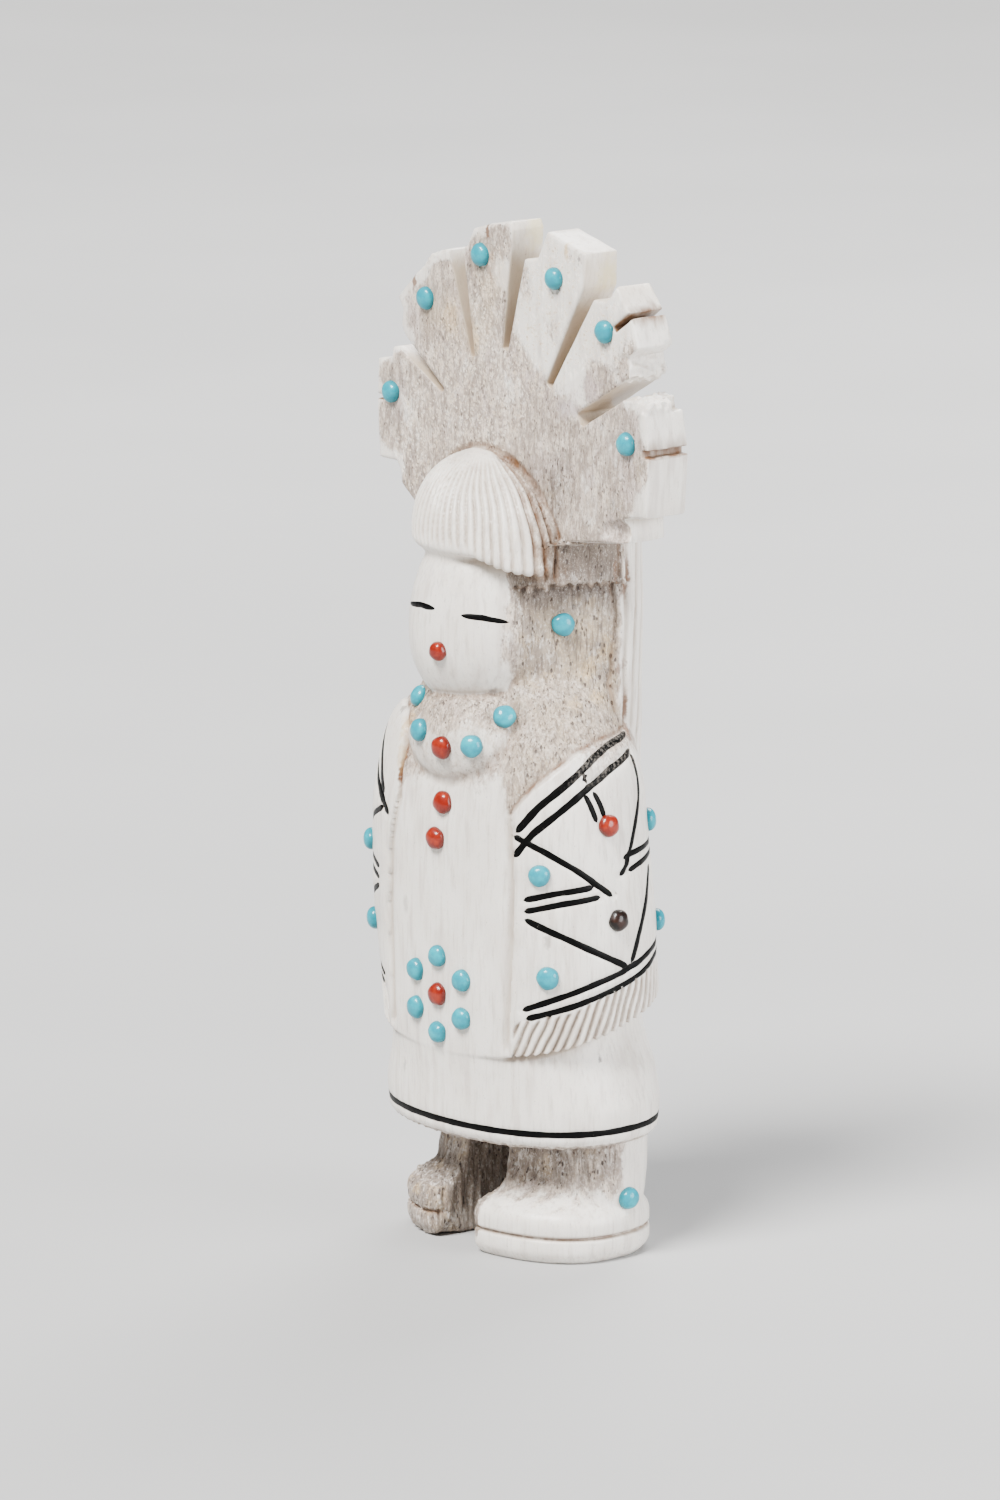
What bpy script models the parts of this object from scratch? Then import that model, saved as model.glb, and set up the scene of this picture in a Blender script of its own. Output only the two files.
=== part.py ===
"""A maiden with a feather-fan headdress, carved from one piece of antler and set with small stones.

The figure faces -Y, its left hand is at +X, and it stands at z = 0. The carving keeps its
proportions as shares of its height: U is one share, a millimetre at full size. The stones, the
saw cuts and the fan's plate have sizes of their own.
"""

import math

import bmesh
import bpy
from mathutils import Matrix, Vector
from mathutils.bvhtree import BVHTree

FIGURE_HEIGHT = 0.109
U = FIGURE_HEIGHT / 109

STONE_DIAMETER = 0.0024
STONE_PROUD = 0.0008
STONE_SUNK = 0.0006
STONE_GAP = 0.0002
STONE_SIDES = 8
TORSO_SIDES = 48
LEG_SIDES = 40

FAN_THICKNESS = 0.0058
FAN_TIP_THICKNESS = 0.0046
FAN_SLOT_WIDTH = 0.0014
SAW_CUT_WIDTH = 0.0004
LEG_GAP = 0.0066
GROOVE_WIDTH = 0.0006
GROOVE_DEPTH = 0.0004
GROOVE_TAPER = 0.3
FRINGE_PITCH = 0.0014

# Each station is a height, an oval's centre x and y, its half width and half depth, and its power.
LEG_OVAL = (1.2, 1.8, 13.0, 8.0, 2.2)
FOOT_OVAL = (0.7, 0.0, 14.5, 9.5, 2.5)
LEG_GAP_CENTRE = -0.6
FOOT_PROFILE = (
    (0, -1.0),
    (0.4, -0.4),
    (1.2, 0),
    (2.5, 0),
    (2.8, -0.5),
    (3.1, 0),
    (4.6, 0),
    (5.4, -0.4),
    (5.9, -1.1),
)
ANKLE_PROFILE = ((6.3, 0.45), (7.2, 0.75), (8.6, 0.95), (10.0, 1.0), (13.6, 1.0))

SKIRT = (
    (12.5, -0.2, 0.1, 15.0, 10.5, 2.2),
    (12.8, -0.2, 0.1, 15.8, 11.2, 2.2),
    (13.5, -0.2, 0.1, 16.2, 11.6, 2.2),
    (14.8, -0.2, 0.1, 16.3, 11.8, 2.2),
    (16.5, -0.2, 0.1, 16.3, 11.8, 2.2),
    (19.7, 0, -0.1, 15.4, 11.7, 2.2),
    (21.5, 0, -0.4, 14.7, 11.6, 2.25),
    (24.0, 0, -0.8, 13.9, 11.3, 2.3),
    (32.0, 0, -0.8, 13.6, 11.3, 2.3),
)

SHAWL = (
    (19.0, 0, -0.5, 15.6, 11.5, 2.35),
    (26.6, 0, -0.55, 16.4, 11.65, 2.35),
    (31.0, -0.25, -0.7, 16.7, 11.5, 2.35),
    (36.0, -0.75, -0.75, 17.0, 11.45, 2.35),
    (41.0, -1.05, -0.85, 16.8, 11.35, 2.35),
    (46.5, -1.2, -1.0, 16.4, 11.2, 2.35),
    (53.0, -0.8, -0.9, 15.1, 10.4, 2.3),
    (55.2, -0.7, -0.8, 14.0, 9.9, 2.3),
    (57.3, -0.5, -0.5, 12.4, 9.1, 2.3),
    (59.0, -0.3, -0.3, 11.0, 8.5, 2.3),
    (61.0, -0.3, 0.0, 10.2, 8.1, 2.3),
    (63.0, -0.3, 0.3, 9.4, 7.8, 2.3),
)
SHAWL_EDGE_HEIGHT = 22.9
SHAWL_EDGE_FRONT = -8.8
SHAWL_EDGE_SLOPE = 0.3
SHAWL_RIGHT_EDGE = (-7.0, -7.0)
SHAWL_LEFT_EDGE = (9.4, 9.4)
SHAWL_EDGE_BOTTOM = 24.8
SHAWL_EDGE_TOP = 48.4
EDGE_STEPS = 6
NECK_EDGES = ((45, 96), (327, 264))
NECK_EDGE_TOP = 56.6
FRINGE_HEIGHT = 4.3
FRINGE_START = 47
FRINGE_END = 322
FRINGE_LEAN = 5.0
FRINGE_SEAT = 26.6
FRINGE_OVERRUN = 0.45

# A head station has one more value, the distance of the two flat cheeks from the head's axis.
HEAD = (
    (44.4, 0, 3.5, 8.4, 7.0, 2.8, 20),
    (45.2, 0, 3.6, 9.3, 7.6, 2.8, 20),
    (50.0, 0, 3.4, 9.9, 7.8, 2.8, 20),
    (57.0, 0, 2.4, 11.0, 8.4, 2.8, 10.6),
    (60.0, 0, 1.8, 11.4, 8.8, 2.8, 9.4),
    (69.0, 0, 1.5, 11.8, 9.0, 2.8, 9.2),
    (71.6, 0, 1.5, 11.6, 8.9, 2.8, 9.2),
    (72.0, 0, 1.5, 11.6, 8.9, 2.8, 10.4),
    (76.0, 0, 1.5, 11.5, 8.8, 2.8, 10.6),
    (76.4, 0, 3.5, 11.0, 6.9, 2.8, 20),
    (79.0, 0, 3.5, 10.2, 6.6, 2.6, 20),
    (81.6, 0, 3.4, 8.6, 5.8, 2.4, 20),
    (83.6, 0, 3.2, 6.2, 4.4, 2.2, 20),
    (84.8, 0, 3.0, 3.2, 2.4, 2.0, 20),
)
CHEEK_BEARING = 65
HAIR_STRANDS = 26
HAIR_STRAND_DEPTH = 0.035

FACE = ((-0.9, -5.2, 67.4), (7.7, 7.4, 9.6))
BIB = ((-0.2, -5.6, 55.0), (8.6, 7.3, 7.0))

CAP_CENTRE = (-0.5, -4.0, 75.6)
CAP_RADII = (9.3, 7.7, 9.2)
CAP_RIM_HEIGHT = 74.8
CAP_RIM_BREAK = 3.7
CAP_RIM_SLOPE = 0.43
CAP_SKIRT_DROP = 4.0
CAP_APEX_SHIFT = (-2.2, 0.8)
CAP_STRANDS = 32
CAP_STRAND_DEPTH = 0.05
CAP_RINGS = (0.0, 0.0, 0.25, 0.5, 0.72, 0.88, 0.97)

# The fan's outline runs round its lobes in x and z from the fan's centre, from the lower right.
FAN_FRONT = -3.0
FAN_CENTRE = (0.5, 87.0)
FAN_BASE = ((-13.0, -10.6), (8.4, -10.6), (14.8, -9.8), (18.3, -9.4))
FAN_LOBES = (
    ((18.0, -6.9), (21.5, -6.5), (22.0, -0.4), (21.3, 5.4), (18.5, 5.8)),
    ((18.9, 7.2), (19.7, 7.7), (19.3, 9.6), (20.5, 10.9), (19.3, 14.1), (16.8, 17.1), (15.3, 15.4)),
    ((12.3, 15.2), (12.3, 19.9), (6.2, 21.6), (4.6, 18.7)),
    ((2.2, 18.8), (0.8, 22.0), (-2.5, 21.5), (-5.2, 20.7), (-6.1, 19.5)),
    ((-7.4, 17.9), (-10.8, 17.8), (-14.1, 15.1), (-17.1, 12.2)),
    ((-16.0, 7.8), (-17.8, 6.9), (-18.1, 5.6), (-20.1, 5.4), (-20.5, 0.0), (-20.2, -5.6), (-17.5, -5.5)),
)
FAN_HEEL = ((-16.1, -7.2), (-15.7, -9.0))
FAN_SLOTS = ((11.2, 2.4, 28), (6.9, 5.8, 60), (0.0, 8.8, 79), (-6.0, 8.6, 101), (-9.8, 4.0, 141))
FAN_SLOT_LENGTH = 16
FAN_TAPER_FOOT = 88.0
SAW_CUTS = ((22.0, 0.2, 0, 1.2), (19.1, 14.5, 36, 3.2), (-20.5, 1.1, 180, 0.9))

# A stone's place is a bearing round the figure from the front, an offset across it and a height.
FAN_STONES = ((18.5, 3), (19.5, 39), (18.5, 66), (18.5, 102), (17.7, 135), (18.1, 174))
FLOWER_CENTRE = (0.1, 28.1)
FLOWER_RADIUS = 4.1
FLOWER_PETALS = 6
STONES = (
    ("mouth_coral", "coral", 0, 0, 64.9),
    ("necklace_coral", "coral", 0, 1.0, 54.8),
    ("necklace_turquoise_1", "turquoise", 310, 0, 58.2),
    ("necklace_turquoise_2", "turquoise", 350, 0, 56.1),
    ("necklace_turquoise_3", "turquoise", 22, 0, 55.3),
    ("necklace_turquoise_4", "turquoise", 37, 0, 58.3),
    ("button_coral_1", "coral", 0, 0.6, 48.7),
    ("button_coral_2", "coral", 0, -0.2, 44.8),
    ("earring_left", "turquoise", 75.5, 0, 67.5),
    ("earring_right", "turquoise", 284.5, 0, 67.5),
    ("shawl_left_turquoise_1", "turquoise", 54, 0, 42.3),
    ("shawl_left_turquoise_2", "turquoise", 57, 0, 31.5),
    ("shawl_left_coral", "coral", 83, 0, 47.1),
    ("shawl_left_jet", "jet", 85, 0, 37.1),
    ("shawl_right_turquoise_1", "turquoise", 300, 0, 41.8),
    ("shawl_right_turquoise_2", "turquoise", 300, 0, 33.2),
    ("shawl_right_coral", "coral", 277, 0, 47.1),
    ("shawl_right_jet", "jet", 275, 0, 37.1),
    ("shawl_back_left_turquoise_1", "turquoise", 118.8, 0, 46.0),
    ("shawl_back_left_turquoise_2", "turquoise", 118.8, 0, 35.3),
    ("shawl_back_right_turquoise_1", "turquoise", 241.2, 0, 46.0),
    ("shawl_back_right_turquoise_2", "turquoise", 241.2, 0, 35.3),
    ("boot_left_turquoise", "turquoise", 97.5, 0, 6.5),
    ("boot_right_turquoise", "turquoise", 262.5, 0, 6.5),
)
EYES = (((0, 3.0, 68.9), (0, 6.2, 68.1)), ((0, -0.1, 69.3), (0, -5.2, 68.9)))
EYE_STEPS = 5
FAR = 40.0
SHARP_ANGLE = 35

MATERIALS = {
    "antler": ((0.80, 0.77, 0.71), 0.38),
    "turquoise": ((0.07, 0.55, 0.62), 0.25),
    "coral": ((0.56, 0.07, 0.03), 0.22),
    "jet": ((0.03, 0.02, 0.02), 0.2),
}


def clear_scene():
    for obj in list(bpy.data.objects):
        bpy.data.objects.remove(obj)


def new_collection(name):
    collection = bpy.data.collections.new(name)
    bpy.context.scene.collection.children.link(collection)
    return collection


def material(name):
    colour, roughness = MATERIALS[name]
    made = bpy.data.materials.new(name)
    made.use_nodes = True
    shader = made.node_tree.nodes["Principled BSDF"]
    shader.inputs["Base Color"].default_value = (*colour, 1)
    shader.inputs["Roughness"].default_value = roughness
    shader.inputs["Metallic"].default_value = 0
    return made


def add_object(name, bm, collection, guide=False):
    bmesh.ops.recalc_face_normals(bm, faces=bm.faces)
    mesh = bpy.data.meshes.new(name)
    bm.to_mesh(mesh)
    bm.free()
    obj = bpy.data.objects.new(name, mesh)
    collection.objects.link(obj)
    if guide:
        obj.hide_render = True
        obj.display_type = "WIRE"
    return obj


def boolean(target, other, operation):
    modifier = target.modifiers.new(other.name, "BOOLEAN")
    modifier.object = other
    modifier.operation = operation
    modifier.solver = "EXACT"


def bearing_direction(bearing):
    """The level direction that points outwards at this bearing, in degrees round from the front."""
    turn = math.radians(bearing)
    return Vector((math.sin(turn), -math.cos(turn), 0))


def oval_radius(turn, half_width, half_depth, power):
    across = abs(math.cos(turn) / half_width) ** power
    along = abs(math.sin(turn) / half_depth) ** power
    return (across + along) ** (-1 / power)


def oval_ring(station, count, radius_rule=None):
    """One level ring of points, whose radius a rule may change for each turn and index."""
    z, centre_x, centre_y, half_width, half_depth, power = station[:6]
    ring = []
    for i in range(count):
        turn = math.tau * i / count
        radius = oval_radius(turn, half_width, half_depth, power)
        if radius_rule:
            radius = radius_rule(radius, turn, i)
        x = centre_x + radius * math.cos(turn)
        y = centre_y + radius * math.sin(turn)
        ring.append(Vector((x, y, z)) * U)
    return ring


def add_loft(bm, rings):
    """A closed skin over rings of equally many points, with flat ends."""
    rows = [[bm.verts.new(point) for point in ring] for ring in rings]
    count = len(rows[0])
    for lower, upper in zip(rows, rows[1:]):
        for i in range(count):
            j = (i + 1) % count
            bm.faces.new((lower[i], lower[j], upper[j], upper[i]))
    bm.faces.new(reversed(rows[0]))
    bm.faces.new(rows[-1])


def loft(name, rings, collection):
    bm = bmesh.new()
    add_loft(bm, rings)
    return add_object(name, bm, collection, guide=True)


def ellipsoid(name, place, sides, rows, collection):
    centre, radii = place
    bm = bmesh.new()
    bmesh.ops.create_uvsphere(bm, u_segments=sides, v_segments=rows, radius=1)
    bmesh.ops.scale(bm, vec=Vector(radii) * U, verts=bm.verts)
    bmesh.ops.translate(bm, vec=Vector(centre) * U, verts=bm.verts)
    return add_object(name, bm, collection, guide=True)


def add_box(bm, centre, size, turn_y=0.0):
    """A box turned about Y by an angle in degrees, to cut with."""
    made = bmesh.ops.create_cube(bm, size=1)
    verts = made["verts"]
    bmesh.ops.scale(bm, vec=Vector(size), verts=verts)
    turn = Matrix.Rotation(math.radians(turn_y), 3, "Y")
    bmesh.ops.rotate(bm, cent=Vector(), matrix=turn, verts=verts)
    bmesh.ops.translate(bm, vec=Vector(centre), verts=verts)


def make_legs(guides):
    """Both boots as one oval foot with a sole groove, narrowed to the ankles and parted by a gap."""
    foot_x, foot_y, foot_a, foot_b, foot_power = FOOT_OVAL
    rings = []
    for z, grow in FOOT_PROFILE:
        rings.append(oval_ring((z, foot_x, foot_y, foot_a + grow, foot_b + grow, foot_power), LEG_SIDES))
    inset = FOOT_PROFILE[-1][1]
    start = (foot_x, foot_y, foot_a + inset, foot_b + inset, foot_power)
    for z, share in ANKLE_PROFILE:
        blend = [low + (high - low) * share for low, high in zip(start, LEG_OVAL)]
        rings.append(oval_ring((z, *blend), LEG_SIDES))
    legs = loft("legs", rings, guides)
    bm = bmesh.new()
    top = SKIRT[0][0] * U
    low = -FAR * U
    add_box(bm, (LEG_GAP_CENTRE * U, 0, (low + top) / 2), (LEG_GAP, FAR * U, top - low))
    boolean(legs, add_object("leg_gap", bm, guides, guide=True), "DIFFERENCE")
    return legs


def make_shawl(guides):
    """The shawl's outside, cut off below along a slope that rises to the back."""
    shawl = loft("shawl", [oval_ring(station, TORSO_SIDES) for station in SHAWL], guides)
    slope = Matrix.Rotation(math.atan(SHAWL_EDGE_SLOPE), 3, "X")
    bm = bmesh.new()
    add_box(bm, (0, 0, -FAR * U / 2), (FAR * U, 2 * FAR * U, FAR * U))
    bmesh.ops.rotate(bm, cent=Vector(), matrix=slope, verts=bm.verts)
    bmesh.ops.translate(bm, vec=Vector((0, SHAWL_EDGE_FRONT, SHAWL_EDGE_HEIGHT)) * U, verts=bm.verts)
    boolean(shawl, add_object("below_shawl", bm, guides, guide=True), "DIFFERENCE")
    return shawl


def make_head(guides):
    """The head with its two flat cheeks, and the hair that falls down the back in strands."""
    rings = [oval_ring(station, 2 * HAIR_STRANDS, head_rule(station[6])) for station in HEAD]
    return loft("head", rings, guides)


def head_rule(cheek):
    """The rule that flattens a ring of the head at the cheeks and cuts strands in its back."""

    def head_radius(radius, turn, i):
        outwards = Vector((math.cos(turn), math.sin(turn), 0))
        for bearing in (CHEEK_BEARING, -CHEEK_BEARING):
            facing = outwards.dot(bearing_direction(bearing))
            if facing > 0:
                radius = min(radius, cheek / facing)
        if math.sin(turn) > 0 and i % 2:
            radius -= radius * HAIR_STRAND_DEPTH
        return radius

    return head_radius


def make_cap(guides):
    """The hair over the brow: half a dome, with strands that run together at its crown."""
    rings = []
    for k, rise in enumerate(CAP_RINGS):
        width = math.sqrt(1 - rise**2)
        x = CAP_CENTRE[0] + CAP_APEX_SHIFT[0] * rise
        y = CAP_CENTRE[1] + CAP_APEX_SHIFT[1] * rise
        z = CAP_CENTRE[2] + CAP_RADII[2] * rise
        if k == 0:
            z -= CAP_SKIRT_DROP
        station = (z, x, y, CAP_RADII[0] * width, CAP_RADII[1] * width, 2.0)
        rings.append(oval_ring(station, CAP_STRANDS * 2, cap_radius))
    cap = loft("hair_cap", rings, guides)

    low, slope = -FAR, CAP_RIM_SLOPE
    outline = (
        (low, 0),
        (FAR, 0),
        (FAR, CAP_RIM_HEIGHT - slope * (FAR - CAP_RIM_BREAK)),
        (CAP_RIM_BREAK, CAP_RIM_HEIGHT),
        (low, CAP_RIM_HEIGHT),
    )
    bm = bmesh.new()
    add_loft(bm, [[Vector((x, y, z)) * U for x, z in outline] for y in (-FAR, FAR)])
    boolean(cap, add_object("below_cap", bm, guides, guide=True), "DIFFERENCE")
    return cap


def cap_radius(radius, turn, i):
    return radius * (1 - CAP_STRAND_DEPTH * (i % 2))


def fan_point(x, z, y=0.0):
    return Vector((FAN_CENTRE[0] + x, FAN_FRONT + y, FAN_CENTRE[1] + z)) * U


def make_fan(guides):
    """The upright plate of feathers, thinner towards its tips, with slots sawn between them."""
    outline = [*FAN_BASE, *(point for lobe in FAN_LOBES for point in lobe), *FAN_HEEL]
    bm = bmesh.new()
    front = [fan_point(x, z) for x, z in outline]
    back = [point + Vector((0, FAN_THICKNESS, 0)) for point in front]
    add_loft(bm, (front, back))
    fan = add_object("fan", bm, guides, guide=True)
    boolean(fan, make_fan_taper(guides), "DIFFERENCE")

    bm = bmesh.new()
    for x, z, angle in FAN_SLOTS:
        add_saw_cut(bm, x, z, angle, FAN_SLOT_LENGTH * U, FAN_SLOT_WIDTH)
    for x, z, angle, depth in SAW_CUTS:
        add_saw_cut(bm, x, z, angle, depth * U, SAW_CUT_WIDTH, inwards=True)
    boolean(fan, add_object("fan_slots", bm, guides, guide=True), "DIFFERENCE")
    return fan


def make_fan_taper(guides):
    """Everything behind the fan's back, which leans forwards from the taper's foot to the tips."""
    bm = bmesh.new()
    add_box(bm, Vector((0, FAR, FAR)) * U, Vector((2, 2, 2)) * FAR * U)
    foot = Vector((0, FAN_FRONT * U + FAN_THICKNESS, FAN_TAPER_FOOT * U))
    lean = math.atan((FAN_THICKNESS - FAN_TIP_THICKNESS) / (FIGURE_HEIGHT - foot.z))
    bmesh.ops.rotate(bm, cent=Vector(), matrix=Matrix.Rotation(lean, 3, "X"), verts=bm.verts)
    bmesh.ops.translate(bm, vec=foot, verts=bm.verts)
    return add_object("fan_taper", bm, guides, guide=True)


def add_saw_cut(bm, x, z, angle, length, width, inwards=False):
    """A cut through the fan from a point outwards, or from the rim inwards by its depth."""
    outwards = Vector((math.cos(math.radians(angle)), 0, math.sin(math.radians(angle))))
    middle = fan_point(x, z) + Vector((0, FAN_THICKNESS / 2, 0))
    middle += outwards * (0 if inwards else length / 2)
    size = (2 * length if inwards else length, 2 * FAN_THICKNESS, width)
    add_box(bm, middle, size, -angle)


class Surface:
    """The carved surface, to seat stones and grooves on."""

    def __init__(self, obj):
        graph = bpy.context.evaluated_depsgraph_get()
        self.tree = BVHTree.FromObject(obj, graph)

    def seat(self, bearing, offset, height):
        """Where a level line to the axis meets the surface, and the surface's normal there."""
        outwards = bearing_direction(bearing)
        across = Vector((-outwards.y, outwards.x, 0))
        start = (outwards * FAR + across * offset + Vector((0, 0, height))) * U
        point, normal, _, _ = self.tree.ray_cast(start, -outwards)
        return point, normal


def add_groove(bm, seats, width, depth, taper=GROOVE_TAPER):
    """A V groove along the seats, narrower at its ends."""
    rings = []
    last = len(seats) - 1
    for k, (point, normal) in enumerate(seats):
        ahead = seats[min(k + 1, last)][0] - seats[max(k - 1, 0)][0]
        side = ahead.cross(normal).normalized() * width / 2
        if k in (0, last):
            side *= taper
        lift = normal * depth / 2
        rings.append((point + side + lift, point - normal * depth, point - side + lift))
    add_loft(bm, rings)


def path(surface, start, end, steps):
    """Seats spaced evenly between two places on the surface."""
    seats = []
    for k in range(steps + 1):
        share = k / steps
        place = [low + (high - low) * share for low, high in zip(start, end)]
        seats.append(surface.seat(*place))
    return seats


def edge_height(y):
    return SHAWL_EDGE_HEIGHT + SHAWL_EDGE_SLOPE * (y / U - SHAWL_EDGE_FRONT)


def add_fringe(bm, surface):
    """Slanting cuts all round the shawl's lower edge."""
    around = math.pi * (SHAWL[1][3] + SHAWL[1][4]) * U
    count = round(around * (FRINGE_END - FRINGE_START) / 360 / FRINGE_PITCH)
    for i in range(count + 1):
        bearing = FRINGE_START + (FRINGE_END - FRINGE_START) * i / count
        lean = FRINGE_LEAN * max(math.cos(math.radians(bearing - FRINGE_START)), 0)
        edge = edge_height(surface.seat(bearing, 0, FRINGE_SEAT)[0].y)
        bottom = surface.seat(bearing, 0, edge + FRINGE_OVERRUN)
        top = surface.seat(bearing + lean, 0, edge + FRINGE_HEIGHT)
        below = bottom[0] + (bottom[0] - top[0]).normalized() * 2 * FRINGE_OVERRUN * U
        add_groove(bm, ((below, bottom[1]), top), GROOVE_WIDTH, GROOVE_DEPTH, 1.0)


def make_grooves(surface, guides):
    """The shawl's front and upper edges, the fringe and the slits of the eyes."""
    bm = bmesh.new()
    for low, high in (SHAWL_LEFT_EDGE, SHAWL_RIGHT_EDGE):
        edge = path(surface, (0, low, SHAWL_EDGE_BOTTOM), (0, high, SHAWL_EDGE_TOP), EDGE_STEPS)
        add_groove(bm, edge, GROOVE_WIDTH, GROOVE_DEPTH)
    for start, end in NECK_EDGES:
        edge = path(surface, (start, 0, SHAWL_EDGE_TOP), (end, 0, NECK_EDGE_TOP), EDGE_STEPS)
        add_groove(bm, edge, GROOVE_WIDTH, GROOVE_DEPTH)
    for start, end in EYES:
        add_groove(bm, eye_path(surface, start, end), GROOVE_WIDTH, GROOVE_DEPTH)
    add_fringe(bm, surface)
    return add_object("grooves", bm, guides, guide=True)


def eye_path(surface, start, end):
    first = surface.seat(*start)[0]
    last = surface.seat(*end)[0]
    seats = []
    for k in range(EYE_STEPS + 1):
        point = first.lerp(last, k / EYE_STEPS)
        location, normal, _, _ = surface.tree.find_nearest(point)
        seats.append((location, normal))
    return seats


def stone_places():
    """Every stone's name, kind, bearing, offset and height."""
    places = list(STONES)
    for i, (radius, angle) in enumerate(FAN_STONES, 1):
        x = FAN_CENTRE[0] + radius * math.cos(math.radians(angle))
        z = FAN_CENTRE[1] + radius * math.sin(math.radians(angle))
        places.append((f"fan_turquoise_{i}", "turquoise", 0, x, z))
    places.append(("flower_coral", "coral", 0, *FLOWER_CENTRE))
    for i in range(FLOWER_PETALS):
        turn = math.tau * (i + 0.5) / FLOWER_PETALS
        x = FLOWER_CENTRE[0] + FLOWER_RADIUS * math.cos(turn)
        z = FLOWER_CENTRE[1] + FLOWER_RADIUS * math.sin(turn)
        places.append((f"flower_turquoise_{i + 1}", "turquoise", 0, x, z))
    return places


def make_stone(name, kind, point, normal, collection):
    """A low dome whose widest ring is level with the surface it is sunk in."""
    bm = bmesh.new()
    bmesh.ops.create_uvsphere(bm, u_segments=STONE_SIDES, v_segments=4, radius=1)
    for vert in bm.verts:
        vert.co.x *= STONE_DIAMETER / 2
        vert.co.y *= STONE_DIAMETER / 2
        vert.co.z *= STONE_PROUD if vert.co.z > 0 else STONE_SUNK
    stone = add_object(name, bm, collection)
    stone.location = point
    stone.rotation_mode = "QUATERNION"
    stone.rotation_quaternion = normal.to_track_quat("Z", "Y")
    stone.data.materials.append(kind)
    stone.data.shade_smooth()
    return stone


def add_socket(bm, point, normal):
    """The hole drilled for a stone, with room all round it."""
    depth = STONE_SUNK + STONE_GAP
    height = depth + STONE_DIAMETER
    radius = STONE_DIAMETER / 2 + STONE_GAP
    made = bmesh.ops.create_cone(
        bm, cap_ends=True, segments=STONE_SIDES, radius1=radius, radius2=radius, depth=height
    )
    bmesh.ops.translate(bm, vec=Vector((0, 0, height / 2 - depth)), verts=made["verts"])
    turn = normal.to_track_quat("Z", "Y").to_matrix()
    bmesh.ops.rotate(bm, cent=Vector(), matrix=turn, verts=made["verts"])
    bmesh.ops.translate(bm, vec=point, verts=made["verts"])


def apply_modifiers(obj):
    graph = bpy.context.evaluated_depsgraph_get()
    mesh = bpy.data.meshes.new_from_object(obj.evaluated_get(graph))
    obj.modifiers.clear()
    obj.data = mesh


def centre_over_origin(objects):
    """Moves the finished figure so that its box stands centred on the origin."""
    bpy.context.view_layer.update()
    corners = [obj.matrix_world @ vert.co for obj in objects for vert in obj.data.vertices]
    middle_x = (min(c.x for c in corners) + max(c.x for c in corners)) / 2
    middle_y = (min(c.y for c in corners) + max(c.y for c in corners)) / 2
    for obj in objects:
        obj.location -= Vector((middle_x, middle_y, 0))


def main():
    clear_scene()
    parts = new_collection("antler_maiden")
    guides = new_collection("cutters")
    materials = {name: material(name) for name in MATERIALS}

    bm = bmesh.new()
    add_loft(bm, [oval_ring(station, TORSO_SIDES) for station in SKIRT])
    carving = add_object("antler_carving", bm, parts)
    for form in (
        make_legs(guides),
        make_shawl(guides),
        make_head(guides),
        ellipsoid("face", FACE, 24, 14, guides),
        ellipsoid("bib", BIB, 24, 10, guides),
        make_fan(guides),
        make_cap(guides),
    ):
        boolean(carving, form, "UNION")
    surface = Surface(carving)
    boolean(carving, make_grooves(surface, guides), "DIFFERENCE")

    sockets = bmesh.new()
    stones = []
    for name, kind, bearing, offset, height in stone_places():
        point, normal = surface.seat(bearing, offset, height)
        add_socket(sockets, point, normal)
        stones.append(make_stone(name, materials[kind], point, normal, parts))
    boolean(carving, add_object("sockets", sockets, guides, guide=True), "DIFFERENCE")
    apply_modifiers(carving)
    carving.data.materials.clear()
    carving.data.materials.append(materials["antler"])
    carving.data.shade_smooth()
    carving.data.set_sharp_from_angle(angle=math.radians(SHARP_ANGLE))
    centre_over_origin([carving, *stones])


main()
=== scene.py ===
"""The looks of the antler maiden: the carving, its stones and its inked lines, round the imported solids.

Lengths in this file are millimetres in the carving's own frame: the figure faces -Y, its left hand
is at +X and its axis is the origin. FROM_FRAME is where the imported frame's origin is in it.
"""

import math

import bmesh
import bpy
import numpy as np
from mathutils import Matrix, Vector
from mathutils.bvhtree import BVHTree


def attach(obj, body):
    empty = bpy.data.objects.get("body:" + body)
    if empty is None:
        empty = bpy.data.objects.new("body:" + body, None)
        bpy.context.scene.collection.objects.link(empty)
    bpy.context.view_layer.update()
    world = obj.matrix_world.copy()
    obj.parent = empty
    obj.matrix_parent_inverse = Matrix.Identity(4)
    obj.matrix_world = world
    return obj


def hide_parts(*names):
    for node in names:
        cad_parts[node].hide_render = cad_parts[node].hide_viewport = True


MM = 0.001
FROM_FRAME = np.array((1.25, -0.8087, 0.0))
CELL = 0.16
BLOCK = 3
NEAR = 1.0
GRID_LOW = np.array((-21.4, -14.2, -0.8))
GRID_HIGH = np.array((23.6, 13.0, 110.0))
FACE_BUDGET = 196000
SETTLE_STEP = 0.12
SEAT_START = 40
REACH = 13.5

# An oval is its centre, its half-width, its half-depth and its power. A station has its height first.
LEG_OVAL = (1.2, 2.3, 13.0, 7.3, 2.2)
FOOT_OVAL = (0.7, 0.0, 14.5, 9.5, 2.5)
FOOT_PROFILE = ((-0.5, -1.3), (0, -1.0), (0.4, -0.4), (1.2, 0), (4.4, 0), (5.2, -0.35), (5.8, -1.1))
ANKLE_PROFILE = ((6.2, 0.4), (7.0, 0.68), (8.4, 0.92), (10.0, 1.0), (14.6, 1.0))
ANKLE_SIDES = (
    (4.4, 0.8, 1.7, 14.0, 6.2, 2.2),
    (7.0, 0.8, 1.7, 14.2, 6.4, 2.2),
    (14.6, 1.2, 1.8, 13.1, 6.6, 2.2),
)
ANKLE_START = 5.0
LEG_GAP = 6.6
LEG_GAP_CENTRE = -0.6
SOLE_GROOVE = 2.8
TOE_FLARE = 0.9
SKIRT_BOTTOM = 12.6
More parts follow.
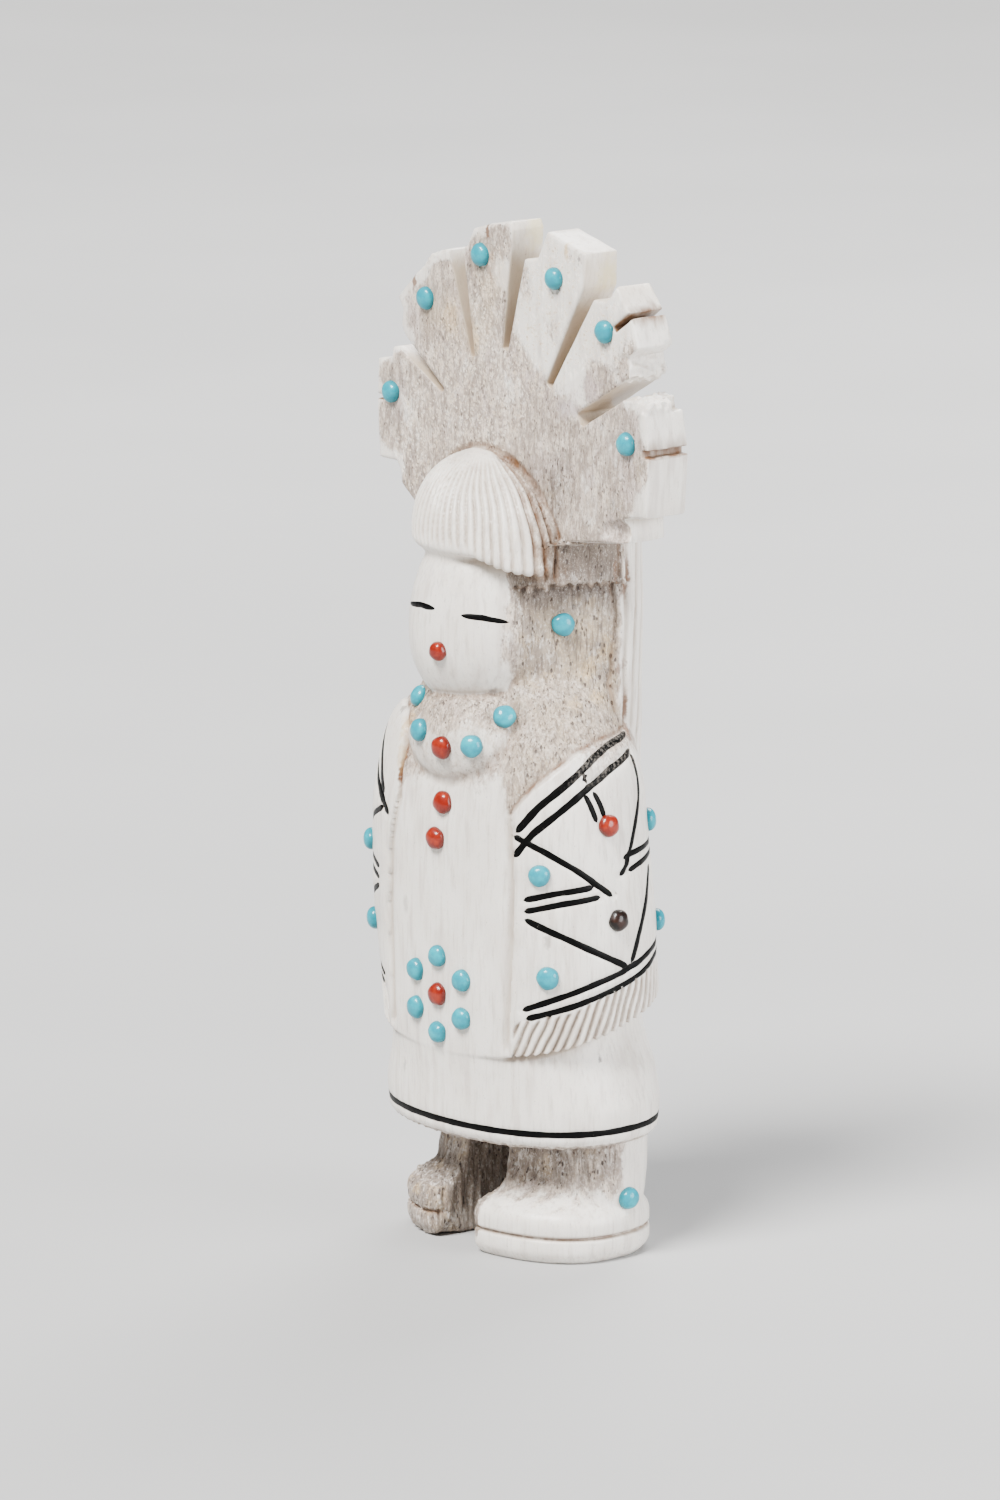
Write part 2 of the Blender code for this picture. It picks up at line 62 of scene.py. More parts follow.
SKIRT = (
    (11.5, -0.2, 0.1, 15.4, 10.9, 2.2),
    (12.5, -0.2, 0.1, 15.6, 11.1, 2.2),
    (13.2, -0.2, 0.1, 16.15, 11.6, 2.2),
    (14.8, -0.2, 0.1, 16.3, 11.8, 2.2),
    (16.5, -0.2, 0.1, 16.3, 11.8, 2.2),
    (19.7, 0, -0.1, 15.4, 11.7, 2.2),
    (21.5, 0, -0.4, 14.7, 11.6, 2.25),
    (24.0, 0, -0.8, 13.9, 11.3, 2.3),
    (32.0, 0, -0.8, 13.6, 11.3, 2.3),
)
SHAWL = (
    (19.0, 0, -0.5, 15.6, 11.5, 2.35),
    (26.6, 0, -0.55, 16.4, 11.65, 2.35),
    (31.0, -0.25, -0.7, 16.7, 11.5, 2.35),
    (36.0, -0.75, -0.75, 17.0, 11.45, 2.35),
    (41.0, -1.05, -0.85, 16.8, 11.35, 2.35),
    (46.5, -1.2, -1.0, 16.4, 11.2, 2.35),
    (50.0, -1.1, -0.95, 16.0, 10.8, 2.35),
    (53.0, -1.2, -0.9, 15.5, 10.4, 2.3),
    (55.2, -1.3, -0.8, 14.6, 9.9, 2.3),
    (57.3, -1.1, -0.5, 13.0, 9.1, 2.3),
    (59.0, -0.7, -0.3, 11.4, 8.5, 2.3),
    (61.0, -0.3, 0.0, 9.9, 7.9, 2.3),
    (63.0, -0.3, 0.3, 8.0, 6.7, 2.3),
    (65.0, -0.3, 0.5, 5.0, 4.4, 2.3),
)
# The shawl's lower edge is its height, the depth where it has that height, and its slope.
SHAWL_EDGE = (22.9, -8.8, 0.3)
HEAD = (
    (44.0, 0, 3.5, 8.4, 7.0, 2.8),
    (45.2, 0, 3.6, 9.3, 7.6, 2.8),
    (50.0, 0, 3.4, 9.9, 7.8, 2.8),
    (57.0, 0, 2.4, 11.0, 8.4, 2.8),
    (60.0, 0, 1.8, 11.4, 8.8, 2.8),
    (69.0, 0, 1.5, 11.8, 9.0, 2.8),
    (76.2, 0, 1.6, 11.5, 8.8, 2.8),
    (76.9, 0, 3.5, 11.0, 6.9, 2.8),
    (79.0, 0, 3.5, 10.2, 6.6, 2.6),
    (81.6, 0, 3.4, 8.6, 5.8, 2.4),
    (83.6, 0, 3.2, 6.2, 4.4, 2.2),
    (85.0, 0, 2.9, 3.4, 2.6, 2.0),
    (85.9, 0, 2.4, 1.0, 0.9, 2.0),
)
CHEEKS = (
    (50.0, 20.0), (57.0, 10.6), (60.0, 9.4), (69.0, 9.2),
    (71.45, 9.1), (71.8, 10.8), (76.2, 10.8), (76.9, 20.0),
)
CHEEK_BEARING = 65
HEAD_BOTTOM = 44.5
HEAD_TOP = 85.9
LEDGE = 71.7
# An egg is its centre, its half-width, half-depth, drop and rise, and its power.
FACE = ((-0.85, -5.3, 66.0), (7.6, 7.4, 8.7, 12.2), 2.06)
BIB = ((-0.2, -5.6, 55.0), (8.6, 7.3, 7.0, 7.0), 2.0)
BIB_HOLLOW = 1.0
CAP = ((-0.5, -4.0, 75.6), (9.3, 7.7, 9.2, 9.2), 2.0)
CAP_APEX_SHIFT = (-2.2, 0.8)
# The cap's rim is its height, where it starts to drop on the figure's left, and its slope.
CAP_RIM = (74.8, 3.7, 0.43)
CAP_STRANDS = 52
HAIR_STRANDS = 50
HAIR_CENTRE = 1.6
HAIR_FURROWS = ((2.8, 41), (4.1, 42))

# The fan's places are across and up from its centre.
FAN_FRONT = -3.0
FAN_BACK = 2.8
FAN_TAPER = (88.0, 1.2 / 21)
FAN_CENTRE = (0.5, 87.0)
FAN_OUTLINE = (
    (-13.0, -10.6), (8.4, -10.6), (14.8, -9.9), (18.3, -9.5),
    (18.0, -6.9), (21.3, -6.5), (21.7, -0.4), (21.0, 5.4), (18.5, 5.8),
    (18.4, 7.1), (19.1, 7.6), (18.5, 9.9), (20.0, 11.0), (19.0, 14.1), (16.8, 17.1), (15.3, 15.4),
    (11.7, 15.3), (12.1, 19.9), (6.2, 21.6), (4.7, 18.7),
    (1.9, 18.2), (0.6, 22.0), (-2.5, 21.5), (-5.2, 20.7), (-5.9, 19.4),
    (-6.9, 17.8), (-9.7, 18.0), (-11.8, 17.3), (-14.4, 14.8), (-17.1, 12.2),
    (-16.3, 10.9), (-16.6, 9.1), (-15.4, 7.1), (-17.9, 6.7), (-18.2, 5.5), (-20.3, 5.2),
    (-20.5, 0.0), (-20.1, -5.4), (-17.4, -5.5), (-16.8, -6.3), (-16.6, -7.7), (-16.0, -8.3),
)
# A cut in the fan is its start, its angle, its length, its width there and how much it widens.
FAN_CUTS = (
    (11.1, 2.5, 29.5, 16, 1.5, 0.01),
    (6.4, 5.5, 59.3, 16, 0.8, 0.08),
    (-0.3, 8.5, 79, 16, 0.8, 0.13),
    (-5.3, 7.2, 103.7, 16, 0.5, 0.15),
    (-10.1, 3.0, 145, 16, 0.5, 0.15),
    (20.8, 0.2, 0, 4, 0.74, 0),
    (16.5, 12.6, 36, 6, 0.6, 0),
    (-19.4, 1.1, 180, 4, 0.45, 0),
)

SAW_CUTS = FAN_CUTS[5:]
FAN_NOTCH = (19.8, 1.0, 4.3)
FAN_SCOOP = ((18.2, -3.7, -8.4), (4.2, 1.5, 1.45, 1.45), 2.0)
# A spot is its place and its half-sizes.
FAN_CRUMBLES = ((19.5, 5.4, 2.8, 1.3), (18.4, 8.2, 1.8, 1.8), (-12.5, 16.6, 2.5, 1.2), (-6.8, 18.2, 1.0, 1.2))
FAN_TANS = ((-5.5, 10.2, 2.6, 2.6), (-8.7, 12.0, 1.6, 1.8), (-2.2, 15.0, 1.4, 3.5), (-11.5, 10.8, 1.8, 2.0))
# How far the antler's natural outside reaches, as stations of ovals.
NATURAL = (
    (-1.0, 0.7, 0.0, 15.0, 10.2, 2.4),
    (13.0, 0.0, 0.0, 16.4, 11.9, 2.3),
    (36.0, -0.7, -0.7, 17.1, 11.6, 2.3),
    (46.0, -1.1, -0.9, 16.6, 11.5, 2.3),
    (57.0, -0.4, -0.6, 16.0, 12.4, 2.3),
    (67.0, 0.0, -0.8, 16.5, 12.4, 2.3),
    (76.0, 0.5, -0.2, 20.0, 12.2, 2.2),
    (87.0, 1.2, 0.2, 22.4, 12.2, 2.1),
    (100.0, 1.2, 0.2, 21.8, 11.8, 2.1),
    (110.0, 1.0, 0.2, 19.0, 11.0, 2.1),
)

STONE_RADIUS = 1.2
STONE_PROUD = 0.92
STONE_LIFT = 0.05
STONE_RINGS = 14
STONE_SIDES = 40
# How far a stone's dome is turned over its edge, as a share of half a turn.
STONE_TURN = 0.68
MOUTH_SHARE = 0.87
# A stone is its name, its kind, its bearing from the front, its place to the side of that and its height.
STONES = (
    ("mouth_coral", "coral", 0, 0.6, 64.9),
    ("necklace_coral", "coral", 0, 1.35, 54.8),
    ("necklace_turquoise_1", "turquoise", 316, 0, 58.2),
    ("necklace_turquoise_2", "turquoise", 350, 0, 56.1),
    ("necklace_turquoise_3", "turquoise", 22, 0, 55.3),
    ("necklace_turquoise_4", "turquoise", 37, 0, 58.3),
    ("button_coral_1", "coral", 0, 0.6, 48.7),
    ("button_coral_2", "coral", 0, -0.2, 44.8),
    ("earring_left", "turquoise", 75.5, 0, 67.5),
    ("earring_right", "turquoise", 284.5, 0, 67.5),
    ("shawl_left_turquoise_1", "turquoise", 54, 0, 42.3),
    ("shawl_left_turquoise_2", "turquoise", 57, 0, 31.5),
    ("shawl_left_coral", "coral", 83, 0, 47.1),
    ("shawl_left_jet", "jet", 85, 0, 37.1),
    ("shawl_right_turquoise_1", "turquoise", 300, 0, 41.8),
    ("shawl_right_turquoise_2", "turquoise", 300, 0, 33.2),
    ("shawl_right_coral", "coral", 277, 0, 47.1),
    ("shawl_right_jet", "jet", 275, 0, 37.1),
    ("shawl_back_left_turquoise_1", "turquoise", 118.8, 0, 46.0),
    ("shawl_back_left_turquoise_2", "turquoise", 118.8, 0, 35.3),
    ("shawl_back_right_turquoise_1", "turquoise", 241.2, 0, 46.0),
    ("shawl_back_right_turquoise_2", "turquoise", 241.2, 0, 35.3),
    ("boot_left_turquoise", "turquoise", 95.0, 0, 6.5),
    ("boot_right_turquoise", "turquoise", 262.5, 0, 6.5),
)
# Each fan stone is its distance and its angle from the fan's centre.
FAN_STONES = ((18.5, 3), (19.5, 39), (18.5, 66), (18.5, 102), (17.7, 135), (18.1, 174))
# The flower is its middle, its radius and its petals.
FLOWER = (0.1, 28.1, 4.1, 6)

# Lines are runs of bearings from the front and heights. Those named RIGHT count bearings to the
# figure's right, and INK_LINES are on both sides.
BAND_UPPER = ((44.5, 46.7), (53.7, 49.4), (63.2, 51.3), (78.6, 54.1), (90.4, 55.2), (107.4, 55.8))
BAND_LOWER = ((43.7, 44.1), (51.1, 46.6), (64.3, 49.3), (73.8, 51.1), (86.3, 52.8), (104.3, 54.1))
BAND_UPPER_RIGHT = (
    (44.0, 47.8), (47.0, 48.6), (49.5, 49.5), (53.0, 50.9), (56.0, 52.5), (60.5, 53.9), (67.0, 55.0),
    (76.0, 55.7), (90.0, 56.0), (107.4, 55.8),
)
BAND_LOWER_RIGHT = (
    (38.0, 45.8), (42.0, 46.7), (47.0, 47.5), (53.0, 48.6), (59.0, 50.2), (66.0, 51.8), (75.0, 53.1),
    (86.0, 53.9), (104.3, 54.1),
)
BANDS = {
    1: ((BAND_UPPER, 0.76), (BAND_LOWER, 0.72)),
    -1: ((BAND_UPPER_RIGHT, 1.0), (BAND_LOWER_RIGHT, 0.9)),
}
INK_LINES = (
    (((43.5, 46.3), (56.0, 44.8), (68.4, 42.8), (83.3, 39.7)), 0.64),
    (((47.7, 39.6), (60.0, 40.4), (75.2, 40.9)), 0.64),
    (((47.9, 38.4), (62.3, 39.3), (77.8, 39.8)), 0.64),
    (((48.2, 37.6), (63.7, 35.7), (76.1, 33.9), (89.8, 31.9)), 0.68),
    (
        (
            (47.3, 27.9), (59.7, 29.2), (76.0, 30.8), (89.8, 31.7),
            (102, 32.8), (112, 33.4), (140, 34.6), (180, 35.4),
        ),
        0.64,
    ),
    (((48.7, 27.0), (63.7, 28.2), (78.7, 29.5), (93.2, 30.6), (109.3, 32.2), (140, 33.6), (180, 34.4)), 0.64),
    (
        ((103.9, 53.7), (105.7, 51.3), (103.9, 49.1), (98.4, 46.2), (93.8, 43.8), (90.8, 42.2), (87.5, 41.7)),
        0.62,
    ),
    (((90.0, 43.4), (97.3, 43.8), (109.7, 44.0), (124, 44.4)), 0.6),
    (((92.5, 42.0), (98.8, 42.4), (108.4, 42.8), (124, 43.3)), 0.6),
    (((109.6, 41.8), (102.4, 38.1), (96.4, 35.2), (91.6, 32.3)), 0.68),
    (((73.0, 50.6), (75.5, 49.2), (77.8, 47.6)), 0.58),
    (((76.9, 50.8), (79.7, 49.5), (81.6, 48.0)), 0.58),
    (((72.7, 52.0), (75.0, 52.6)), 0.3),
    (((73.3, 53.0), (74.3, 51.7)), 0.3),
)
# A bed is this much wider than its line.
BED_MARGIN = 0.3
HEM_LINE = (14.4, 0.68)
EYES = (((3.0, 68.9), (4.8, 68.7), (6.3, 68.15)), ((-0.1, 69.25), (-2.4, 69.35), (-5.6, 68.9)))
EYE_WIDTH = 0.6
EYE_STEPS = 22
INK_STEP = 0.22
# An ink line's section: places across it, as shares of its width, and how high they lie.
INK_SECTION = ((-0.62, -0.07), (-0.5, 0.025), (0.0, 0.05), (0.5, 0.025), (0.62, -0.07))
NECK_EDGE = (
    (41.6, 48.6), (44.2, 49.4), (51.2, 51.3), (60.4, 53.1),
    (70.8, 54.8), (85.6, 55.8), (109.0, 56.3),
)
NECK_EDGE_RIGHT = (
    (30.5, 48.0), (31.5, 50.5), (33.0, 53.0), (37.0, 55.3),
    (46.0, 56.8), (60.0, 57.4), (85.6, 56.6), (109.0, 56.3),
)
# The shawl's front edges are runs of heights and bearings.
FRONT_EDGE = ((22.4, 40.6), (30.3, 42.0), (37.5, 43.2), (43.4, 42.9), (48.8, 41.6))
FRONT_EDGE_RIGHT = ((22.4, -39.0), (35.0, -38.0), (43.0, -36.0), (46.5, -33.0), (48.8, -31.0))


def smoothstep(low, high, value):
    share = np.clip((value - low) / (high - low), 0, 1)
    return share * share * (3 - 2 * share)


def smooth_min(a, b, k):
    share = np.clip(0.5 + 0.5 * (b - a) / k, 0, 1)
    return b + (a - b) * share - k * share * (1 - share)


def smooth_max(a, b, k):
    return -smooth_min(-a, -b, k)


def table(stations, soft=0.35):
    """A loft's stations as dense columns, whose corners are rounded off over a length."""
    rows = np.array(stations, float)
    step = 0.05
    heights = np.arange(rows[0, 0], rows[-1, 0] + step, step)
    reach = int(3 * soft / step)
    kernel = np.exp(-0.5 * (np.arange(-reach, reach + 1) * step / soft) ** 2)
    kernel /= kernel.sum()
    columns = []
    for k in range(1, rows.shape[1]):
        column = np.interp(heights, rows[:, 0], rows[:, k])
        columns.append(np.convolve(np.pad(column, reach, mode="edge"), kernel, mode="valid"))
    return heights, columns


def look_up(z, dense):
    heights, columns = dense
    return [np.interp(z, heights, column) for column in columns]


def leg_stations():
    foot_x, foot_y, foot_a, foot_b, foot_power = FOOT_OVAL
    rows = [(z, foot_x, foot_y, foot_a + grow, foot_b + grow, foot_power) for z, grow in FOOT_PROFILE]
    inset = FOOT_PROFILE[-1][1]
    start = (foot_x, foot_y, foot_a + inset, foot_b + inset, foot_power)
    for z, share in ANKLE_PROFILE:
        rows.append((z, *(low + (high - low) * share for low, high in zip(start, LEG_OVAL))))
    return rows


LEG_TABLE = table(leg_stations(), 0.3)
ANKLE_TABLE = table(ANKLE_SIDES, 0.3)
SKIRT_TABLE = table(SKIRT)
SHAWL_TABLE = table(SHAWL, 0.8)
HEAD_TABLE = table(HEAD, 0.25)
CHEEK_TABLE = table(CHEEKS, 0.12)
NATURAL_TABLE = table(NATURAL, 2.0)


def oval_distance(x, y, z, dense):
    centre_x, centre_y, half_width, half_depth, power = look_up(z, dense)
    dx, dy = np.abs(x - centre_x), np.abs(y - centre_y)
    share = ((dx / half_width) ** power + (dy / half_depth) ** power) ** (1 / power)
    share = np.maximum(share, 0.05)
    return np.hypot(dx, dy) * (1 - 1 / share)


def egg_distance(x, y, z, egg):
    (cx, cy, cz), (a, b, drop, rise), power = egg
    dx, dy, dz = np.abs(x - cx), np.abs(y - cy), np.abs(z - cz)
    c = np.where(z < cz, drop, rise)
    share = ((dx / a) ** power + (dy / b) ** power + (dz / c) ** power) ** (1 / power)
    share = np.maximum(share, 0.05)
    return np.sqrt(dx * dx + dy * dy + dz * dz) * (1 - 1 / share)


def outline_distance(x, z, outline):
    """The signed distance from points in a plane to a closed outline, negative inside."""
    best = np.full(np.broadcast(x, z).shape, 1e9)
    inside = np.zeros(best.shape, bool)
    for (ax, az), (bx, bz) in zip(outline, (*outline[1:], outline[0])):
        ex, ez = bx - ax, bz - az
        share = np.clip(((x - ax) * ex + (z - az) * ez) / (ex * ex + ez * ez), 0, 1)
        gap = (x - ax - share * ex) ** 2 + (z - az - share * ez) ** 2
        best = np.minimum(best, gap)
        crosses = ((az > z) != (bz > z)) & (x < (bx - ax) * (z - az) / (bz - az + 1e-12) + ax)
        inside ^= crosses
    return np.where(inside, -1, 1) * np.sqrt(best)


def slot_distance(x, z, cut):
    """The signed distance to a slot that runs outwards from a point at an angle, in a plane."""
    start_x, start_z, angle, length, width, flare = cut
    along_x, along_z = math.cos(math.radians(angle)), math.sin(math.radians(angle))
    along = (x - start_x) * along_x + (z - start_z) * along_z
    across = np.abs((z - start_z) * along_x - (x - start_x) * along_z)
    half = (width + flare * np.clip(along, 0, length)) / 2
    return smooth_max(across - half, -along, 0.25 * width)


def fan_distance(x, y, z):
    flat_x, flat_z = x - FAN_CENTRE[0], z - FAN_CENTRE[1]
    flat = outline_distance(flat_x, flat_z, FAN_OUTLINE)
    for cut in FAN_CUTS:
        flat = np.maximum(flat, -slot_distance(flat_x, flat_z, cut))
    back = FAN_BACK - np.maximum(z - FAN_TAPER[0], 0) * FAN_TAPER[1]
    plate = np.maximum(FAN_FRONT - y, y - back)
    fan = smooth_max(flat, plate, 0.45)
    notch = np.maximum(np.maximum(FAN_NOTCH[0] - flat_x, FAN_NOTCH[2] - flat_z), FAN_NOTCH[1] - y)
    fan = np.maximum(fan, -notch)
    return smooth_max(fan, -egg_distance(flat_x, y, flat_z, FAN_SCOOP), 0.3)


def legs_distance(x, y, z):
    outer = oval_distance(x, y, z, LEG_TABLE)
    ankle = np.maximum(oval_distance(x, y, z, ANKLE_TABLE), ANKLE_START - z)
    outer = smooth_min(outer, ankle, 0.8)
    outer = outer + 0.5 * np.exp(-(((z - SOLE_GROOVE) / 0.2) ** 2))
    outer = np.maximum(outer, -z)
    toe = smoothstep(-4, -8, y)
    flare = TOE_FLARE * toe * smoothstep(7.5, 5.5, z) * (x > LEG_GAP_CENTRE)
    gap = LEG_GAP / 2 - flare - np.abs(x - LEG_GAP_CENTRE)
    return smooth_max(outer, gap, 0.9 + np.where(x > LEG_GAP_CENTRE, 1.0, 2.0) * toe)


def skirt_distance(x, y, z):
    return smooth_max(oval_distance(x, y, z, SKIRT_TABLE), SKIRT_BOTTOM - z, 1.0)


def shawl_distance(x, y, z):
    height, front, slope = SHAWL_EDGE
    below = (height + slope * (y - front) - z) / math.hypot(1, slope)
    return smooth_max(oval_distance(x, y, z, SHAWL_TABLE), below, 0.5)


def head_distance(x, y, z):
    head = oval_distance(x, y, z, HEAD_TABLE)
    cheek = look_up(z, CHEEK_TABLE)[0]
    centre_y = look_up(z, HEAD_TABLE)[1]
    turn = math.radians(CHEEK_BEARING)
    flat = np.abs(x) * math.sin(turn) - (y - centre_y) * math.cos(turn) - cheek
    head = smooth_max(head, flat, 0.8)
    head = smooth_max(head, z - HEAD_TOP, 0.8)
    return smooth_max(head, HEAD_BOTTOM - z, 0.6)


def bib_distance(x, y, z):
    """The roll at the neck, hollowed under the chin on the figure's right."""
    hollow = smoothstep(-2.0, -5.5, x) * smoothstep(55.0, 57.5, z)
    return egg_distance(x, y, z, BIB) + BIB_HOLLOW * hollow


def above_rim(x, z):
    """How far a place is above the cap's rim."""
    height, start, slope = CAP_RIM
    return z - (height - slope * np.maximum(x - start, 0))


def cap_distance(x, y, z):
    """The cap of hair, whose crown leans to the figure's right and back as it rises."""
    base, radii = CAP[0][2], CAP[1]
    rise = np.clip((z - base) / radii[2], -0.2, 1)
    lean_x, lean_y = CAP_APEX_SHIFT
    cap = egg_distance(x - lean_x * rise, y - lean_y * rise, np.maximum(z, base), CAP)
    return smooth_max(cap, -above_rim(x, z), 1.3)


FORMS = {
    "legs": (legs_distance, -3, 16),
    "skirt": (skirt_distance, 10.4, 33),
    "shawl": (shawl_distance, 19.5, 65),
    "head": (head_distance, 42, 87),
    "face": (lambda x, y, z: egg_distance(x, y, z, FACE), 55, 80),
    "bib": (bib_distance, 45, 65),
    "cap": (cap_distance, 67, 88),
    "fan": (fan_distance, 73, 113),
}
FAR = 30.0


def forms_at(x, y, z):
    """Each form's distance, or FAR above and below the heights that the form is near."""
    low, high = z.min(), z.max()
    away = np.full(np.broadcast(x, y, z).shape, FAR)
    distances = {}
    for name, (rule, bottom, top) in FORMS.items():
        distances[name] = away
        if high > bottom and low < top:
            distances[name] = np.where((z > bottom) & (z < top), rule(x, y, z), FAR)
    return distances


def figure(x, y, z):
    """The distance to the carving's surface, about true near it, before its lines are engraved."""
    d = forms_at(x, y, z)
    body = smooth_min(d["skirt"], d["shawl"], 0.25)
    body = smooth_min(body, d["legs"], 0.5)
    body = smooth_min(body, d["head"], 0.5 + 2.5 * smoothstep(4, 0, y) * smoothstep(63.5, 59, z))
    body = smooth_min(body, d["bib"], 0.45)
    body = smooth_min(body, d["face"], 0.45 + 1.3 * smoothstep(60, 66, z))
    body = smooth_min(body, d["cap"], 0.35 + 0.9 * smoothstep(4, 0, x) * smoothstep(80, 77, z))
    return smooth_min(body, d["fan"], 0.35)


def grid_field():
    """The figure's distances on a grid: each block's own first, then each cell's near the surface."""
    counts = np.ceil((GRID_HIGH - GRID_LOW) / (CELL * BLOCK)).astype(int)
    centres = [GRID_LOW[k] + CELL * (BLOCK * np.arange(counts[k]) + (BLOCK - 1) / 2) for k in range(3)]
    x, y, z = np.ix_(*centres)
    blocks = np.empty(tuple(counts), np.float32)
    for start in range(0, counts[2], 12):
        layer = slice(start, start + 12)
        blocks[:, :, layer] = figure(x, y, z[:, :, layer])
    near = np.abs(blocks) < NEAR
    for axis in range(3):
        ahead, behind = np.moveaxis(blocks, axis, 0)[1:], np.moveaxis(blocks, axis, 0)[:-1]
        crossed = (ahead < 0) != (behind < 0)
        np.moveaxis(near, axis, 0)[1:] |= crossed
        np.moveaxis(near, axis, 0)[:-1] |= crossed
    field = blocks
    for axis in range(3):
        field = field.repeat(BLOCK, axis)
    where = np.argwhere(near)
    where = where[np.argsort(where[:, 2], kind="stable")]
    steps = np.stack(np.meshgrid(*[np.arange(BLOCK)] * 3, indexing="ij"), -1).reshape(-1, 3)
    for start in range(0, len(where), 6000):
        cells = (where[start : start + 6000, None, :] * BLOCK + steps).reshape(-1, 3)
        places = GRID_LOW + CELL * cells
        field[tuple(cells.T)] = figure(*places.T)
    return field


def surface_net(field):
    """Points and four-sided faces of the surface where the field is zero, with a point in each mixed cell."""
    inside = field < 0
    shape = tuple(n - 1 for n in field.shape)
    corners = [(i, j, k) for i in (0, 1) for j in (0, 1) for k in (0, 1)]

    def corner(array, offset):
        i, j, k = offset
        return array[i : i + shape[0], j : j + shape[1], k : k + shape[2]]

    count = sum(corner(inside, offset).astype(np.int8) for offset in corners)
    cells = np.argwhere((count > 0) & (count < 8))
    index = np.full(shape, -1, np.int32)
    index[tuple(cells.T)] = np.arange(len(cells))
    total = np.zeros((len(cells), 3))
    crossings = np.zeros(len(cells))
    for offset in corners:
        for axis in range(3):
            if offset[axis]:
                continue
            other = list(offset)
            other[axis] = 1
            a = field[tuple((cells + offset).T)].astype(float)
            b = field[tuple((cells + other).T)].astype(float)
            cut = (a < 0) != (b < 0)
            share = np.where(cut, a / np.where(cut, a - b, 1), 0)
            place = np.array(offset, float)[None, :].repeat(len(cells), 0)
            place[:, axis] = share
            total += place * cut[:, None]
            crossings += cut
    points = GRID_LOW + CELL * (cells + total / crossings[:, None])
    faces = []
    for axis in range(3):
        u, v = (axis + 1) % 3, (axis + 2) % 3
        ahead = inside[tuple(slice(1, None) if k == axis else slice(None) for k in range(3))]
        behind = inside[tuple(slice(None, -1) if k == axis else slice(None) for k in range(3))]
        edges = np.argwhere(ahead != behind)
        edges = edges[(edges[:, u] > 0) & (edges[:, v] > 0)]
        leaving = behind[tuple(edges.T)]
        ring = []
        for du, dv in ((1, 1), (0, 1), (0, 0), (1, 0)):
            cell = edges.copy()
            cell[:, u] -= du
            cell[:, v] -= dv
            ring.append(index[tuple(cell.T)])
        ring = np.stack(ring, 1)
        ring[~leaving] = ring[~leaving][:, ::-1]
        faces.append(ring)
    return points, np.concatenate(faces)


def slope_at(points, step=0.04):
    """The figure's value and its slope, from four places round each point."""
    total, slope = 0, 0
    for corner in ((1, 1, 1), (1, -1, -1), (-1, 1, -1), (-1, -1, 1)):
        offset = np.array(corner) * step
        value = figure(*(points + offset).T)
        total = total + value / 4
        slope = slope + value[:, None] * offset / (4 * step * step)
    return total, slope


def settle(points, rounds=2):
    """Moves the points onto the surface, and gives the surface's normals there."""
    for _ in range(rounds):
        value, slope = slope_at(points)
        steep = np.maximum((slope**2).sum(1), 0.25)
        points = points - slope * np.clip(value / steep, -SETTLE_STEP, SETTLE_STEP)[:, None]
    _, slope = slope_at(points, 0.08)
    return points, slope / np.maximum(np.linalg.norm(slope, axis=1), 1e-6)[:, None]


def bearing_of(points):
    return np.degrees(np.arctan2(points[:, 0], -points[:, 1]))


def run_distance(bearing, height, run):
    """How far a place is from a run of bearings and heights, in millimetres over the surface."""
    across = np.radians(bearing) * REACH
    best = np.full(len(across), 1e9)
    rows = [(math.radians(b) * REACH, h) for b, h in run]
    for (ax, az), (bx, bz) in zip(rows, rows[1:]):
        ex, ez = bx - ax, bz - az
        share = np.clip(((across - ax) * ex + (height - az) * ez) / (ex * ex + ez * ez), 0, 1)
        gap = np.hypot(across - ax - share * ex, height - az - share * ez)
        best = np.minimum(best, gap)
    return best


def neck_rise(bearing, height):
    """How far a place is above the shawl's upper edge."""
    left = np.interp(bearing, *np.array(NECK_EDGE).T)
    right = np.interp(-bearing, *np.array(NECK_EDGE_RIGHT).T)
    return height - np.where(bearing > 0, left, right)


def waves(points, size, seed, count=14):
    """Smooth random swells between about -1 and 1, with a size in millimetres along each axis."""
    draw = np.random.default_rng(seed)
    swell = np.zeros(len(points))
    scaled = points / np.array(size)
    for _ in range(count):
        direction = draw.normal(size=3)
        direction *= math.tau * draw.uniform(0.6, 1.4) / np.linalg.norm(direction)
        swell += np.cos(scaled @ direction + draw.uniform(0, math.tau))
    return swell / math.sqrt(count / 2)


def groove(distance, width, sharp=2.0):
    """1 in the middle of a groove, fading to 0 over its width."""
    return np.exp(-((np.abs(distance) / (width / 2)) ** sharp))


def strand_cuts(turn, pitch, width):
    """Narrow cuts between rounded strands: turn counts half-waves, pitch and width are lengths."""
    away = np.arcsin(np.minimum(np.abs(np.sin(turn)), 1)) * pitch / math.pi
    return 0.62 * np.exp(-((away / width) ** 2)) + 0.38 * (1 - np.abs(np.sin(turn)))


def crease(d, one, other, width):
    """Where two forms meet: 1 in the corner between them, fading over a width."""
    return np.exp(-(d[one] ** 2 + d[other] ** 2) / width**2)


def shares(d, soft=0.18):
    """How much each form makes the surface at each point."""
    stack = np.stack(list(d.values()))
    weight = np.exp(-(stack - stack.min(0)) / soft)
    return dict(zip(d, weight / weight.sum(0)))


GIRDLE_BEARINGS = np.radians(np.arange(-180, 181))


